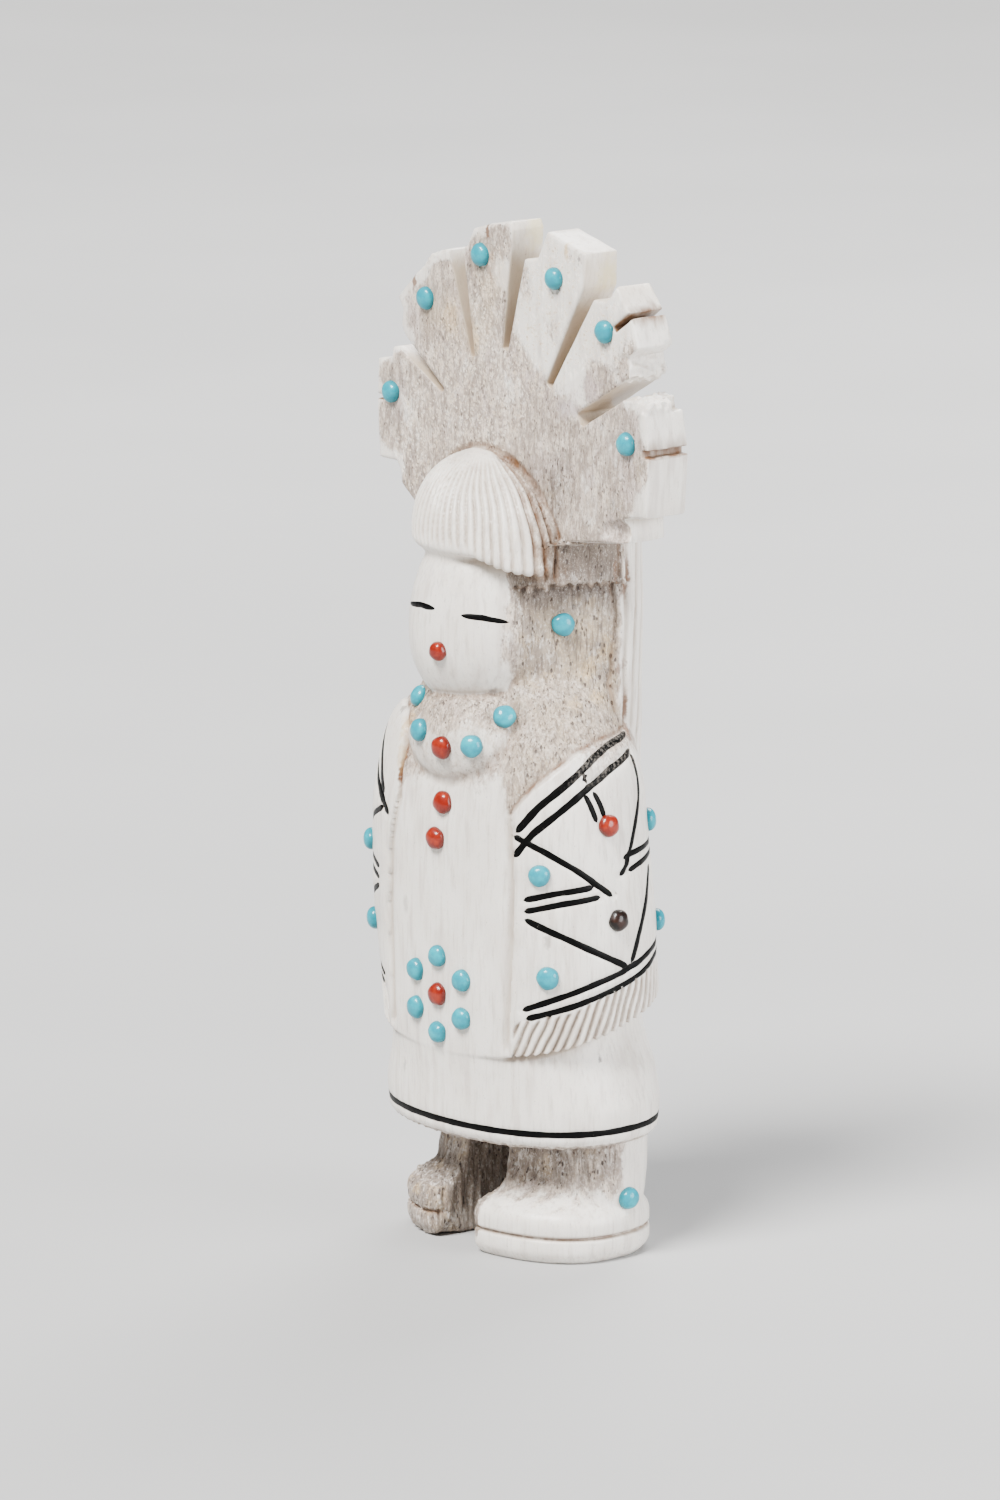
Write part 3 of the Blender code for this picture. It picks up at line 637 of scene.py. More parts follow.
def girdle_lengths():
    """The length round the shawl's lower edge from the front to each bearing."""
    centre_x, centre_y, a, b, power = look_up(25.0, SHAWL_TABLE)
    radii = np.linspace(5, 25, 400)[:, None]
    x, y = radii * np.sin(GIRDLE_BEARINGS), -radii * np.cos(GIRDLE_BEARINGS)
    inside = np.abs((x - centre_x) / a) ** power + np.abs((y - centre_y) / b) ** power < 1
    reach = radii[:, 0][inside.sum(0) - 1]
    steps = np.hypot(np.diff(reach * np.sin(GIRDLE_BEARINGS)), np.diff(reach * np.cos(GIRDLE_BEARINGS)))
    lengths = np.concatenate(((0,), np.cumsum(steps)))
    return lengths - lengths[180]


GIRDLE = girdle_lengths()


def near_spot(x, z, spot):
    """1 within a spot, fading to 0 round it."""
    return smoothstep(1.6, 0.4, np.hypot((x - spot[0]) / spot[2], (z - spot[1]) / spot[3]))


class Carving:
    """What is engraved at each point: how deep, and the colours that settle in it."""

    def __init__(self, points, normals):
        self.points, self.normals = points, normals
        self.x, self.y, self.z = points.T
        self.bearing = bearing_of(points)
        self.side = np.abs(self.bearing)
        self.forms = forms_at(*points.T)
        self.share = shares(self.forms)
        self.depth = np.zeros(len(points))
        self.stain = np.zeros(len(points))
        self.cap_hair()
        self.back_hair()
        self.neck_edges()
        self.front_edges()
        self.fringe()
        self.creases()
        self.crumbled_edges()
        self.ink_beds()
        self.soles()

    def cut(self, amount, stain=0):
        self.depth = self.depth + amount
        self.stain = np.maximum(self.stain, stain)

    def cap_hair(self):
        (cx, cy, cz), radii, _ = CAP
        rise = np.clip((self.z - cz) / radii[2], 0, 1)
        turn = np.arctan2(self.y - cy - CAP_APEX_SHIFT[1] * rise, self.x - cx - CAP_APEX_SHIFT[0] * rise)
        wander = 0.3 * waves(self.points, (5, 5, 16), 11)
        pitch = math.tau * 8.4 * np.sqrt(1.02 - rise**2) / CAP_STRANDS
        strands = strand_cuts(turn * CAP_STRANDS / 2 + wander, pitch, 0.17)
        ends = smoothstep(0.2, 1.8, above_rim(self.x, self.z) + 0.9 * smoothstep(2.5, 5.5, self.x))
        ends = ends * smoothstep(1.0, 0.9, rise)
        near = smoothstep(-0.4, -0.02, turn) * smoothstep(1.2, 0.2, turn)
        self.cap_end = near
        amount = smoothstep(0.9, 0.2, self.forms["cap"])
        amount = amount * smoothstep(0.15, 0.6, self.share["cap"] + 0.6 * near) * strands * ends
        self.cut(amount * (0.42 + 0.25 * near), np.minimum(amount * (0.26 + 1.6 * near), 1))

    def back_hair(self):
        back = self.share["head"] * smoothstep(4.8, 5.6, self.y) * smoothstep(85.2, 82.5, self.z)
        wander = 0.45 * waves(self.points, (8, 8, 34), 12)
        turn = np.arctan2(self.y - HAIR_CENTRE, self.x)
        strands = strand_cuts(turn * HAIR_STRANDS / 2 + wander, 1.3, 0.2)
        self.cut(back * strands * 0.42, back * strands * 0.4)
        for start, seed in HAIR_FURROWS:
            drift = 0.14 * waves(self.points, (40, 40, 9), seed)
            furrow = groove(self.y - start - drift, 0.5) * self.share["head"] * smoothstep(84, 81, self.z)
            self.cut(0.3 * furrow, 0.4 * furrow)

    def neck_edges(self):
        left = run_distance(self.bearing, self.z, NECK_EDGE)
        ring = np.minimum(left, run_distance(-self.bearing, self.z, NECK_EDGE_RIGHT))
        body = self.share["shawl"] + self.share["head"] * (self.z < 60)
        self.cut(body * 0.34 * groove(ring, 0.5), body * groove(ring, 0.42) * 0.95)
        rise = neck_rise(self.bearing, self.z)
        beside = (self.bearing > 42) | (self.bearing < -31)
        above = smoothstep(0.05, 0.4, rise) * smoothstep(4.0, 1.0, rise) * beside
        self.cut(0.25 * above * self.share["shawl"])

    def front_edges(self):
        inside = smoothstep(22.6, 24.2, self.z) * smoothstep(49.3, 47.6, self.z)
        for run, sign in ((FRONT_EDGE, 1), (FRONT_EDGE_RIGHT, -1)):
            behind = (np.interp(self.z, *np.array(run).T) - self.bearing) * sign
            slope = smoothstep(8.0, 0.0, behind) * (behind > -0.45)
            self.cut(0.42 * slope * slope * inside, 0.2 * groove(behind, 1.2) * inside)

    def fringe(self):
        height, front, tilt = SHAWL_EDGE
        low = self.z - (height + tilt * (self.y - front))
        girdle = np.interp(np.radians(self.bearing), GIRDLE_BEARINGS, GIRDLE)
        lean = 0.46 * np.cos(np.radians(np.clip(self.side - 47, 0, 90))) * np.sign(self.bearing)
        wobble = 0.2 * waves(self.points, (4, 4, 4), 13)
        cuts = strand_cuts(math.pi * (girdle - lean * low) / 1.1 + wobble, 1.1, 0.25)
        ends = 4.3 + 0.4 * smoothstep(50, 90, self.side) + 0.15 * waves(self.points, (1.6, 1.6, 8), 14)
        amount = self.share["shawl"] * smoothstep(-0.6, 0.1, low) * smoothstep(ends, ends - 0.45, low)
        amount = amount * cuts * ((self.bearing > 43) | (self.bearing < -42))
        self.cut(amount * 0.48, amount * 0.55)
        rim = groove(low + 0.1, 0.5) * smoothstep(38, 42, self.side)
        cloth = self.share["shawl"] + self.share["skirt"]
        self.cut(0.3 * rim * cloth, rim * (0.6 + 0.4 * smoothstep(55, 75, self.side)))

    def creases(self):
        d = self.forms
        chin = crease(d, "face", "head", 0.5) * smoothstep(66, 61, self.z)
        chin = np.maximum(chin, crease(d, "face", "bib", 0.5))
        self.cut(0.12 * chin, 0.35 * chin)
        collar = crease(d, "bib", "shawl", 0.45)
        self.cut(0.28 * collar, 0.3 * collar)
        brow = np.minimum(crease(d, "cap", "face", 0.5) + crease(d, "cap", "head", 0.4), 1)
        brow = brow * smoothstep(1, 6, self.x)
        self.cut(0.15 * brow, 0.35 * brow)
        crown = crease(d, "cap", "fan", 0.4) * smoothstep(77.5, 80, self.z)
        self.cut(0.2 * crown, 0.45 * crown)
        ledge = groove(self.z - LEDGE, 0.6) * self.share["head"] * smoothstep(4.2, 3.2, self.y)
        self.cut(0.28 * ledge * (1 + 1.3 * waves(self.points, (1.1, 1.1, 0.9), 15)), 0.25 * ledge)

    def crumbled_edges(self):
        x, z = self.x - FAN_CENTRE[0], self.z - FAN_CENTRE[1]
        worn = 0
        for spot in FAN_CRUMBLES:
            worn = np.maximum(worn, near_spot(x, z, spot))
        grit = 1 + 1.5 * np.minimum(waves(self.points, (0.9, 0.9, 0.9), 16), 0.4)
        edge = smoothstep(1.2, 0.2, -outline_distance(x, z, FAN_OUTLINE))
        self.cut(0.1 * worn * self.share["fan"] * grit * edge)

    def ink_beds(self):
        body = self.share["shawl"] + self.share["head"] > 0.5
        for sign in BANDS:
            for run, width in (*BANDS[sign], *INK_LINES):
                bed = groove(run_distance(sign * self.bearing, self.z, run), width + BED_MARGIN, 4)
                self.cut(0.12 * bed * body * (sign * self.bearing > 0))
        height, width = HEM_LINE
        self.cut(0.1 * groove(self.z - height, width + BED_MARGIN, 4) * self.share["skirt"])

    def soles(self):
        outside = smoothstep(0.1, 0.5, np.abs(self.x - LEG_GAP_CENTRE) - LEG_GAP / 2)
        self.cut(0, 0.8 * groove(self.z - SOLE_GROOVE, 0.45) * self.share["legs"] * outside)


def fan_looks(c):
    """The fan's porousness, its brown stains, its ivory edges and its tan, which deep in its slots is partly
    painted shade, from places on its front.
    """
    x, z = c.x - FAN_CENTRE[0], c.z - FAN_CENTRE[1]
    swell = waves(c.points, (6, 6, 6), 22)
    rim = -outline_distance(x, z, FAN_OUTLINE)
    white = smoothstep(9.2, 3.6, np.hypot(x - 8.4, (z - 15.0) * 0.75) + 0.9 * swell)
    white = np.maximum(white, smoothstep(6.6, 2.6, np.hypot(x - 15.8, z - 12.9) + 0.9 * swell))
    white = np.maximum(white, 0.8 * smoothstep(1.5, 0.1, rim + 0.25 * swell) * smoothstep(-8.0, -6.5, z))
    sponge = 0.56 - 0.5 * white + 0.08 * swell
    sponge = sponge + 0.3 * smoothstep(3.4, 0.6, np.hypot(x - 8.0, (z + 4.6) * 0.5) + 0.6 * swell)
    sponge = np.maximum(sponge, 0.5 * near_spot(x, z, (18.0, 8.6, 2.2, 1.8)))
    flank = smoothstep(0.75, 0.4, np.abs(c.normals[:, 1]))
    deep = flank * smoothstep(0.6, 1.6, rim)
    sponge = sponge * (1 - 0.8 * flank)
    saw = np.min([np.abs(slot_distance(x, z, cut)) for cut in SAW_CUTS], axis=0)
    stain = 0.95 * flank * smoothstep(0.3, 0.1, saw)
    # Tan on the slot walls deep inside the outline: partly the core's own colour, partly painted shade in the
    # slots.
    tan = 0.8 * deep
    for spot in FAN_TANS:
        tan = np.maximum(tan, 0.5 * near_spot(x + 0.5 * swell, z, spot))
    tan = np.maximum(tan, 0.5 * flank * near_spot(x, z, (14.0, 17.5, 4.0, 3.0)))
    tan = np.maximum(tan, 0.42 * flank * near_spot(x, z, (3.0, 20.5, 3.0, 2.0)))
    return sponge, stain, tan


def looks_at(c):
    """How porous, stained and tan the antler is at each point of a carving. The porousness also carries
    painted shade about the head's ledge, and the tan carries some painted shade in the fan's slots.
    """
    swell = waves(c.points, (6, 6, 9), 21)
    small = waves(c.points, (1.6, 1.6, 2.4), 23)
    core = smoothstep(1.9, 3.2, -oval_distance(*c.points.T, NATURAL_TABLE) + 0.5 * swell)
    inner = smoothstep(0.7, 0.2, np.abs(np.abs(c.x - LEG_GAP_CENTRE) - LEG_GAP / 2))
    far_boot = c.x < LEG_GAP_CENTRE
    legs = 0.75 + 0.3 * smoothstep(80, 55, c.side) + 0.15 * smoothstep(8, 12.5, c.z)
    legs = legs * smoothstep(97, 89, c.side + 1.2 * small) * smoothstep(4.6, 9.4, c.z + 0.4 * small)
    legs = np.where(far_boot, 0.9 + 0.15 * smoothstep(2.6, 3.4, c.z), legs)
    legs = np.maximum(legs, inner * np.where(far_boot, 1.3, 1.15) * smoothstep(1.0, 3.0, c.z))
    rise = neck_rise(c.bearing, c.z)
    shawl = 0.05 + 0.75 * smoothstep(-0.2, 0.5, rise)
    low = 0.45 * smoothstep(-5.0, -0.6, rise + 0.5 * swell)
    shawl = shawl + low * smoothstep(62, 84, c.side) * (rise < 0.1)
    chest = 0.55 * smoothstep(49.2, 52.5, c.z + 0.6 * swell)
    beside = np.where(c.bearing > 0, smoothstep(36, 44, c.bearing), smoothstep(26, 32, -c.bearing))
    shawl = chest + (shawl - chest) * beside
    skirt = 0.04 + 0.7 * smoothstep(-0.5, -0.9, c.normals[:, 2]) * (c.z < 14)
    head = 0.08 + 1.0 * smoothstep(4.0, 3.0, c.y + 0.15 * small) * np.clip(core + 0.3, 0, 1)
    head = head - 0.1 * smoothstep(62.5, 59.0, c.z + swell)
    head = head - 0.3 * near_spot(c.side, c.z, (60, 60.0, 11, 1.8))
    # Painted shade, carried as porousness: the next three lines darken the head just below its ledge, where
    # the ledge's shadow falls, and above it, under the fan.
    head = head + 0.45 * near_spot(c.side, c.z, (58, 70.2, 16, 2.4))
    head = head + 0.3 * smoothstep(72.0, 73.6, c.z) * (c.y < 3.4)
    head = head + 0.4 * smoothstep(69.6, 71.5, c.z + 0.2 * small) * (c.z < 71.9) * (c.y < 3)
    face = 0.95 * smoothstep(5.3, 7.3, c.x + 0.15 * small)
    bib = 0.28 + 0.5 * smoothstep(56.2, 59.2, c.z + 0.5 * swell)
    cap = 0.04 + 0.6 * c.cap_end
    fan, fan_stain, fan_tan = fan_looks(c)
    share = c.share
    looks = dict(legs=legs, skirt=skirt, shawl=shawl, head=head, face=face, bib=bib, cap=cap, fan=fan)
    sponge = sum(share[form] * look for form, look in looks.items())
    stain = np.maximum(c.stain, share["fan"] * fan_stain)
    tan = (0.24 + 0.3 * smoothstep(0.1, 0.9, swell)) * smoothstep(71, 68, c.z)
    tan = tan + 0.85 * near_spot(c.side + 6 * small, c.z, (88, 61.5, 12, 5.0))
    tan = share["fan"] * fan_tan + share["head"] * np.minimum(tan, 0.75) * (sponge > 0.5)
    tan = tan + share["shawl"] * 0.3 * smoothstep(-0.2, 0.5, rise) * beside + share["bib"] * 0.15
    return sponge, stain, tan


def shade_hollow_at(points, normals):
    """How shut in each point is, for painted shade in the antler's colour: 0 in the open, towards 1 in a
    corner or a cut.
    """
    total = np.zeros(len(points))
    for reach in (0.4, 0.9, 1.8):
        out = points + normals * reach
        total += np.clip(1 - figure(*out.T) / reach, 0, 1)
    return total / 3


def to_frame(points):
    return (np.asarray(points) - FROM_FRAME) * MM


def new_object(name, data):
    obj = bpy.data.objects.new(name, data)
    bpy.context.scene.collection.objects.link(obj)
    return obj


def quad_mesh(name, points, faces):
    """A mesh from arrays of points and of four-sided faces."""
    mesh = bpy.data.meshes.new(name)
    mesh.vertices.add(len(points))
    mesh.vertices.foreach_set("co", points.astype(np.float32).ravel())
    mesh.loops.add(4 * len(faces))
    mesh.loops.foreach_set("vertex_index", faces.astype(np.int32).ravel())
    mesh.polygons.add(len(faces))
    mesh.polygons.foreach_set("loop_start", np.arange(0, 4 * len(faces), 4, dtype=np.int32))
    mesh.update(calc_edges=True)
    return new_object(name, mesh)


def vertex_array(mesh, field="co"):
    """A row of three numbers for each vertex of a mesh."""
    flat = np.empty(len(mesh.vertices) * 3, np.float32)
    mesh.vertices.foreach_get(field, flat)
    return flat.reshape(-1, 3).astype(float)


def add_attribute(mesh, name, values):
    layer = mesh.attributes.new(name, "FLOAT", "POINT")
    layer.data.foreach_set("value", np.asarray(values, np.float32))


def apply_modifier(obj, kind, **settings):
    modifier = obj.modifiers.new(kind.title(), kind)
    for name, value in settings.items():
        setattr(modifier, name, value)
    graph = bpy.context.evaluated_depsgraph_get()
    mesh = bpy.data.meshes.new_from_object(obj.evaluated_get(graph))
    obj.modifiers.clear()
    obj.data = mesh


def make_carving():
    points, faces = surface_net(grid_field())
    points, normals = settle(points)
    carving = Carving(points, normals)
    sponge, _, _ = looks_at(carving)
    legs = carving.share["legs"] * smoothstep(0.8, 1.3, sponge)
    depth = carving.depth + 0.06 * smoothstep(0.3, 1, sponge) * waves(points, (0.8, 0.8, 1.9), 31)
    depth = depth + 0.1 * legs * waves(points, (0.8, 0.8, 7), 33) + 0.012 * waves(points, (2.4, 2.4, 5), 32)
    obj = quad_mesh("carved_figure", points - normals * depth[:, None], faces)
    apply_modifier(obj, "DECIMATE", ratio=min(1.0, FACE_BUDGET / (2 * len(faces))))
    mesh = obj.data
    at = vertex_array(mesh)
    facing = vertex_array(mesh, "normal")
    for layer, values in zip(("sponge", "stain", "tan"), looks_at(Carving(at, facing))):
        add_attribute(mesh, layer, values)
    # The hollow attribute only darkens the antler's colour, as painted shade.
    add_attribute(mesh, "hollow", shade_hollow_at(at, facing))
    mesh.vertices.foreach_set("co", to_frame(at).astype(np.float32).ravel())
    mesh.update()
    mesh.shade_smooth()
    return obj


class Skin:
    """The carved mesh, to seat stones and lines on, in millimetres."""

    def __init__(self, obj):
        points = vertex_array(obj.data) / MM + FROM_FRAME
        faces = [tuple(p.vertices) for p in obj.data.polygons]
        self.tree = BVHTree.FromPolygons([tuple(p) for p in points], faces)

    def seat(self, bearing, offset, height):
        turn = math.radians(bearing)
        outwards = Vector((math.sin(turn), -math.cos(turn), 0))
        across = Vector((-outwards.y, outwards.x, 0))
        start = outwards * SEAT_START + across * offset + Vector((0, 0, height))
        point, _, _, _ = self.tree.ray_cast(start, -outwards)
        return point

    def nearest(self, point):
        place, normal, _, _ = self.tree.find_nearest(Vector(point))
        return place, normal


def base_normal(point):
    _, slope = slope_at(np.array([point]), 0.4)
    return Vector(slope[0]).normalized()


def stone_places():
    """Every stone's name, kind, bearing, offset and height, in the order of their random draws."""
    places = list(STONES)
    for i, (radius, angle) in enumerate(FAN_STONES, 1):
        x = FAN_CENTRE[0] + radius * math.cos(math.radians(angle))
        z = FAN_CENTRE[1] + radius * math.sin(math.radians(angle))
        places.append((f"fan_turquoise_{i}", "turquoise", 0, x, z))
    middle_x, middle_z, radius, petals = FLOWER
    places.append(("flower_coral", "coral", 0, middle_x, middle_z))
    for i in range(petals):
        turn = math.tau * (i + 0.5) / petals
        x, z = middle_x + radius * math.cos(turn), middle_z + radius * math.sin(turn)
        places.append((f"flower_turquoise_{i + 1}", "turquoise", 0, x, z))
    return places


def make_stone(name, kind, point, normal, materials, draw):
    """A hand-cut dome, a little out of round, sunk in the surface."""
    rings, sides = STONE_RINGS, STONE_SIDES
    turn = normal.to_track_quat("Z", "Y").to_matrix()
    radius = STONE_RADIUS * draw.uniform(0.97, 1.04) * (MOUTH_SHARE if name == "mouth_coral" else 1)
    proud = STONE_PROUD * draw.uniform(0.92, 1.06)
    uneven = 0.022 if kind == "turquoise" else 0.03
    lobes = [(k, draw.uniform(0.004, uneven), draw.uniform(0, math.tau)) for k in (2, 3, 5)]
    points = [point + turn @ Vector((0, 0, proud + STONE_LIFT))]
    for i in range(1, rings + 1):
        rise = math.pi * STONE_TURN * i / rings
        flat = math.sin(rise) ** 0.92 if rise < math.pi / 2 else math.sin(rise)
        up = math.copysign(abs(math.cos(rise)) ** 0.95, math.cos(rise))
        for j in range(sides):
            angle = math.tau * j / sides
            swell = 1 + sum(size * math.cos(k * angle + start) for k, size, start in lobes)
            out = radius * swell * flat
            local = Vector((out * math.cos(angle), out * math.sin(angle), proud * up))
            points.append(point + turn @ (local + Vector((0, 0, STONE_LIFT))))
    faces = [(0, 1 + j, 1 + (j + 1) % sides) for j in range(sides)]
    for i in range(rings - 1):
        for j in range(sides):
            k = (j + 1) % sides
            a, b = 1 + i * sides, 1 + (i + 1) * sides
            faces.append((a + j, b + j, b + k, a + k))
    faces.append(tuple(reversed(range(1 + (rings - 1) * sides, 1 + rings * sides))))
    mesh = bpy.data.meshes.new(f"{name}_stone")
    mesh.from_pydata([tuple(p) for p in to_frame([tuple(p) for p in points])], [], faces)
    stone = new_object(f"{name}_stone", mesh)
    # Painted shade: how much each ring of the dome is darkened, more towards the stone's seat.
    sunk = smoothstep(0.55, 0.95, 2 * STONE_TURN * np.arange(1, rings + 1) / rings).repeat(sides)
    add_attribute(mesh, "sunk", (0.0, *sunk))
    mesh.shade_smooth()
    mesh.materials.append(materials[kind])
    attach(stone, "root")
    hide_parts(name)


def spread(run):
    """Even steps along a run that is bent smoothly through its places."""
    rows = np.array(run, float)
    lengths = np.hypot(np.radians(np.diff(rows[:, 0])) * REACH, np.diff(rows[:, 1]))
    at = np.concatenate(((0,), np.cumsum(lengths)))
    count = max(int(at[-1] / INK_STEP), 6)
    where = np.linspace(0, at[-1], count + 1)
    dense = np.stack([np.interp(where, at, rows[:, k]) for k in (0, 1)], 1)
    for _ in range(12):
        dense[1:-1] = (dense[:-2] + 2 * dense[1:-1] + dense[2:]) / 4
    return dense


def add_ribbon(bm, skin, centres, width, draw, closed=False, ends=1.0):
    """A strip of ink over the skin, with blunt ends, whose edges go just under it."""
    count = len(centres)
    normals = [base_normal(tuple(c)) for c in centres]
    phase = draw.uniform(0, math.tau, 3)
    rows = []
    for i, centre in enumerate(centres):
        before, after = centres[i - 1], centres[(i + 1) % count]
        if not closed:
            before, after = centres[max(i - 1, 0)], centres[min(i + 1, count - 1)]
        side = (after - before).cross(normals[i]).normalized()
        wide = width * (1 + 0.05 * math.sin(i * 0.31 + phase[0]) + 0.03 * math.sin(i * 0.83 + phase[1]))
        if not closed:
            from_end = min(i, count - 1 - i) / (ends * width / INK_STEP)
            wide *= math.sqrt(max(1 - (1 - min(from_end, 1)) ** 2, 0.02))
        row = []
        for across, lift in INK_SECTION:
            place, normal = skin.nearest(centre + side * wide * across)
            row.append(bm.verts.new(place + normal * lift))
        rows.append(row)
    pairs = list(zip(rows, rows[1:]))
    if closed:
        pairs.append((rows[-1], rows[0]))
    for row, following in pairs:
        for k in range(len(INK_SECTION) - 1):
            bm.faces.new((row[k], row[k + 1], following[k + 1], following[k]))


def make_ink(skin, material):
    bm = bmesh.new()
    draw = np.random.default_rng(5)
    for sign in BANDS:
        for run, width in (*BANDS[sign], *INK_LINES):
            centres = [skin.seat(sign * bearing, 0, height) for bearing, height in spread(run)]
            add_ribbon(bm, skin, centres, width, draw)
    ring = [skin.seat(bearing, 0, HEM_LINE[0]) for bearing in np.arange(0, 360, 1.0)]
    add_ribbon(bm, skin, ring, HEM_LINE[1], draw, closed=True)
    for eye in EYES:
        rows = np.array(eye)
        where = np.linspace(0, 1, EYE_STEPS)
        xs = np.interp(where, np.linspace(0, 1, len(rows)), rows[:, 0])
        zs = np.interp(where, np.linspace(0, 1, len(rows)), rows[:, 1])
        add_ribbon(bm, skin, [skin.seat(0, x, z) for x, z in zip(xs, zs)], EYE_WIDTH, draw, ends=3.4)
    bmesh.ops.recalc_face_normals(bm, faces=bm.faces)
    for vert in bm.verts:
        vert.co = Vector(to_frame(tuple(vert.co)))
    mesh = bpy.data.meshes.new("ink_lines")
    bm.to_mesh(mesh)
    bm.free()
    at = vertex_array(mesh) / MM + FROM_FRAME
    far_round = smoothstep(60, 72, np.abs(bearing_of(at)))
    add_attribute(mesh, "wear", 0.8 * smoothstep(50.5, 53.5, at[:, 2]) * far_round)
    obj = new_object("ink_lines", mesh)
    mesh.shade_smooth()
    mesh.materials.append(material)
    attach(obj, "root")


# A mark on the antler is its place, its half-sizes, its tone and how strong it is.
# The dark soot tone serves both for real dark cracks and specks and for painted shade in the marks noted
# below.
RUST, OCHRE, SOOT_AND_SHADE = (0.15, 0.062, 0.024), (0.60, 0.42, 0.20), (0.10, 0.075, 0.065)
LILAC, IVORY = (0.42, 0.33, 0.36), (0.72, 0.62, 0.33)
SMALL_MARK = 0.7
MARKS = (
    ((-2.4, -3, 107.6), (0.32, 1.5, 1.1), RUST, 0.9),
    ((-1.7, -3, 104.4), (0.6, 1.5, 1.9), RUST, 0.4),
    ((-13.9, -3, 101.1), (0.3, 1.5, 1.0), RUST, 0.85),
    ((9.7, -3, 107.0), (0.3, 1.5, 0.9), OCHRE, 0.7),
    ((11.6, -3, 106.3), (0.26, 1.0, 0.26), SOOT_AND_SHADE, 0.7),
    ((-8.2, -3, 97.8), (1.5, 1.5, 1.9), OCHRE, 0.35),
    ((-4.6, -3, 95.9), (0.8, 1.5, 1.9), OCHRE, 0.45),
    ((13.7, -3, 93.1), (1.3, 1.5, 1.6), LILAC, 0.45),
    ((9.8, -3, 90.5), (1.7, 1.5, 1.1), LILAC, 0.45),
    ((7.8, -3, 82.4), (0.42, 1.5, 1.7), SOOT_AND_SHADE, 0.55),
    ((-16.2, -3, 85.2), (0.26, 1.5, 2.4), SOOT_AND_SHADE, 0.5),
    ((-13.8, -3, 83.7), (0.22, 1.5, 1.3), SOOT_AND_SHADE, 0.4),
    ((-15.5, -3, 79.4), (0.4, 1.5, 0.4), SOOT_AND_SHADE, 0.55),
    ((14.1, -3.4, 52.6), (0.7, 1.6, 0.9), SOOT_AND_SHADE, 0.35),
    ((2.5, 0.5, 108.0), (2.6, 1.6, 2.6), IVORY, 0.6),
    ((13.0, 0.5, 104.0), (1.2, 1.8, 2.6), IVORY, 0.6),
    ((-7.9, -8.3, 4.7), (1.0, 1.0, 0.6), OCHRE, 0.5),
    ((-6.4, -11.0, 52.6), (0.4, 1.6, 1.3), RUST, 1.0),
    ((-6.95, -11.2, 50.6), (0.42, 1.6, 1.5), RUST, 1.0),
    ((-7.7, -9.7, 55.7), (0.8, 1.5, 2.0), OCHRE, 0.6),
    ((-7.1, -10.8, 52.2), (0.7, 1.5, 1.6), OCHRE, 0.5),
    ((-10.0, -8.3, 56.5), (0.6, 1.0, 0.35), SOOT_AND_SHADE, 0.6),
    ((11.5, 4.1, 72.0), (1.6, 0.36, 2.6), RUST, 0.9),
    ((11.6, 2.3, 72.9), (1.2, 0.3, 1.5), RUST, 0.7),
    ((11.2, 4.0, 62.9), (1.2, 0.3, 0.6), RUST, 0.7),
    ((11.0, 3.3, 62.4), (1.0, 0.4, 0.5), RUST, 0.6),
    ((11.1, 4.2, 58.2), (1.6, 0.4, 1.9), RUST, 0.9),
    ((11.9, 4.2, 55.6), (1.6, 0.4, 1.0), RUST, 0.8),
    ((9.6, 0.2, 62.5), (1.5, 1.1, 1.2), OCHRE, 0.4),
    ((10.8, 0.4, 59.8), (1.2, 1.0, 0.6), OCHRE, 0.55),
    ((10.4, -2.5, 59.4), (1.2, 1.0, 0.7), OCHRE, 0.4),
    ((10.5, 2.1, 65.0), (1.2, 0.7, 1.6), OCHRE, 0.4),
    # Painted shadow under the head's ledge, in the dark soot tone.
    ((8.4, -2.1, 71.0), (2.2, 2.2, 0.9), SOOT_AND_SHADE, 0.5),
    ((9.9, 0.9, 70.7), (1.6, 1.6, 0.9), SOOT_AND_SHADE, 0.5),
    ((7.3, -4.8, 70.2), (1.5, 1.5, 1.1), SOOT_AND_SHADE, 0.35),
    # Painted shade under the fan, in the dark soot tone.
    ((9.9, -2.5, 74.0), (1.6, 2.2, 1.6), SOOT_AND_SHADE, 0.35),
    ((11.0, 0.2, 73.2), (1.2, 1.6, 1.2), SOOT_AND_SHADE, 0.25),
    # Dark cracks and specks from here on.
    ((10.2, 1.5, 67.0), (0.5, 0.3, 0.7), SOOT_AND_SHADE, 0.6),
    ((9.0, -1.0, 69.3), (0.4, 0.3, 0.3), SOOT_AND_SHADE, 0.6),
    ((4.4, -8.4, 60.6), (0.5, 0.5, 0.7), SOOT_AND_SHADE, 0.6),
    ((10.2, -7.4, 55.4), (0.7, 0.5, 0.2), SOOT_AND_SHADE, 0.5),
    ((-5.3, -12.0, 36.8), (0.5, 0.8, 1.0), SOOT_AND_SHADE, 0.3),
    ((13.0, -8.4, 35.4), (0.3, 0.5, 0.9), SOOT_AND_SHADE, 0.45),
    ((14.4, -2.3, 22.1), (0.4, 0.3, 0.4), SOOT_AND_SHADE, 0.8),
    ((-6.7, -10.9, 18.9), (0.3, 0.6, 0.9), SOOT_AND_SHADE, 0.35),
    ((8.3, -3.3, 77.6), (0.5, 0.9, 1.6), SOOT_AND_SHADE, 0.6),
    ((7.6, -3.6, 80.2), (0.35, 0.9, 1.4), SOOT_AND_SHADE, 0.5),
)


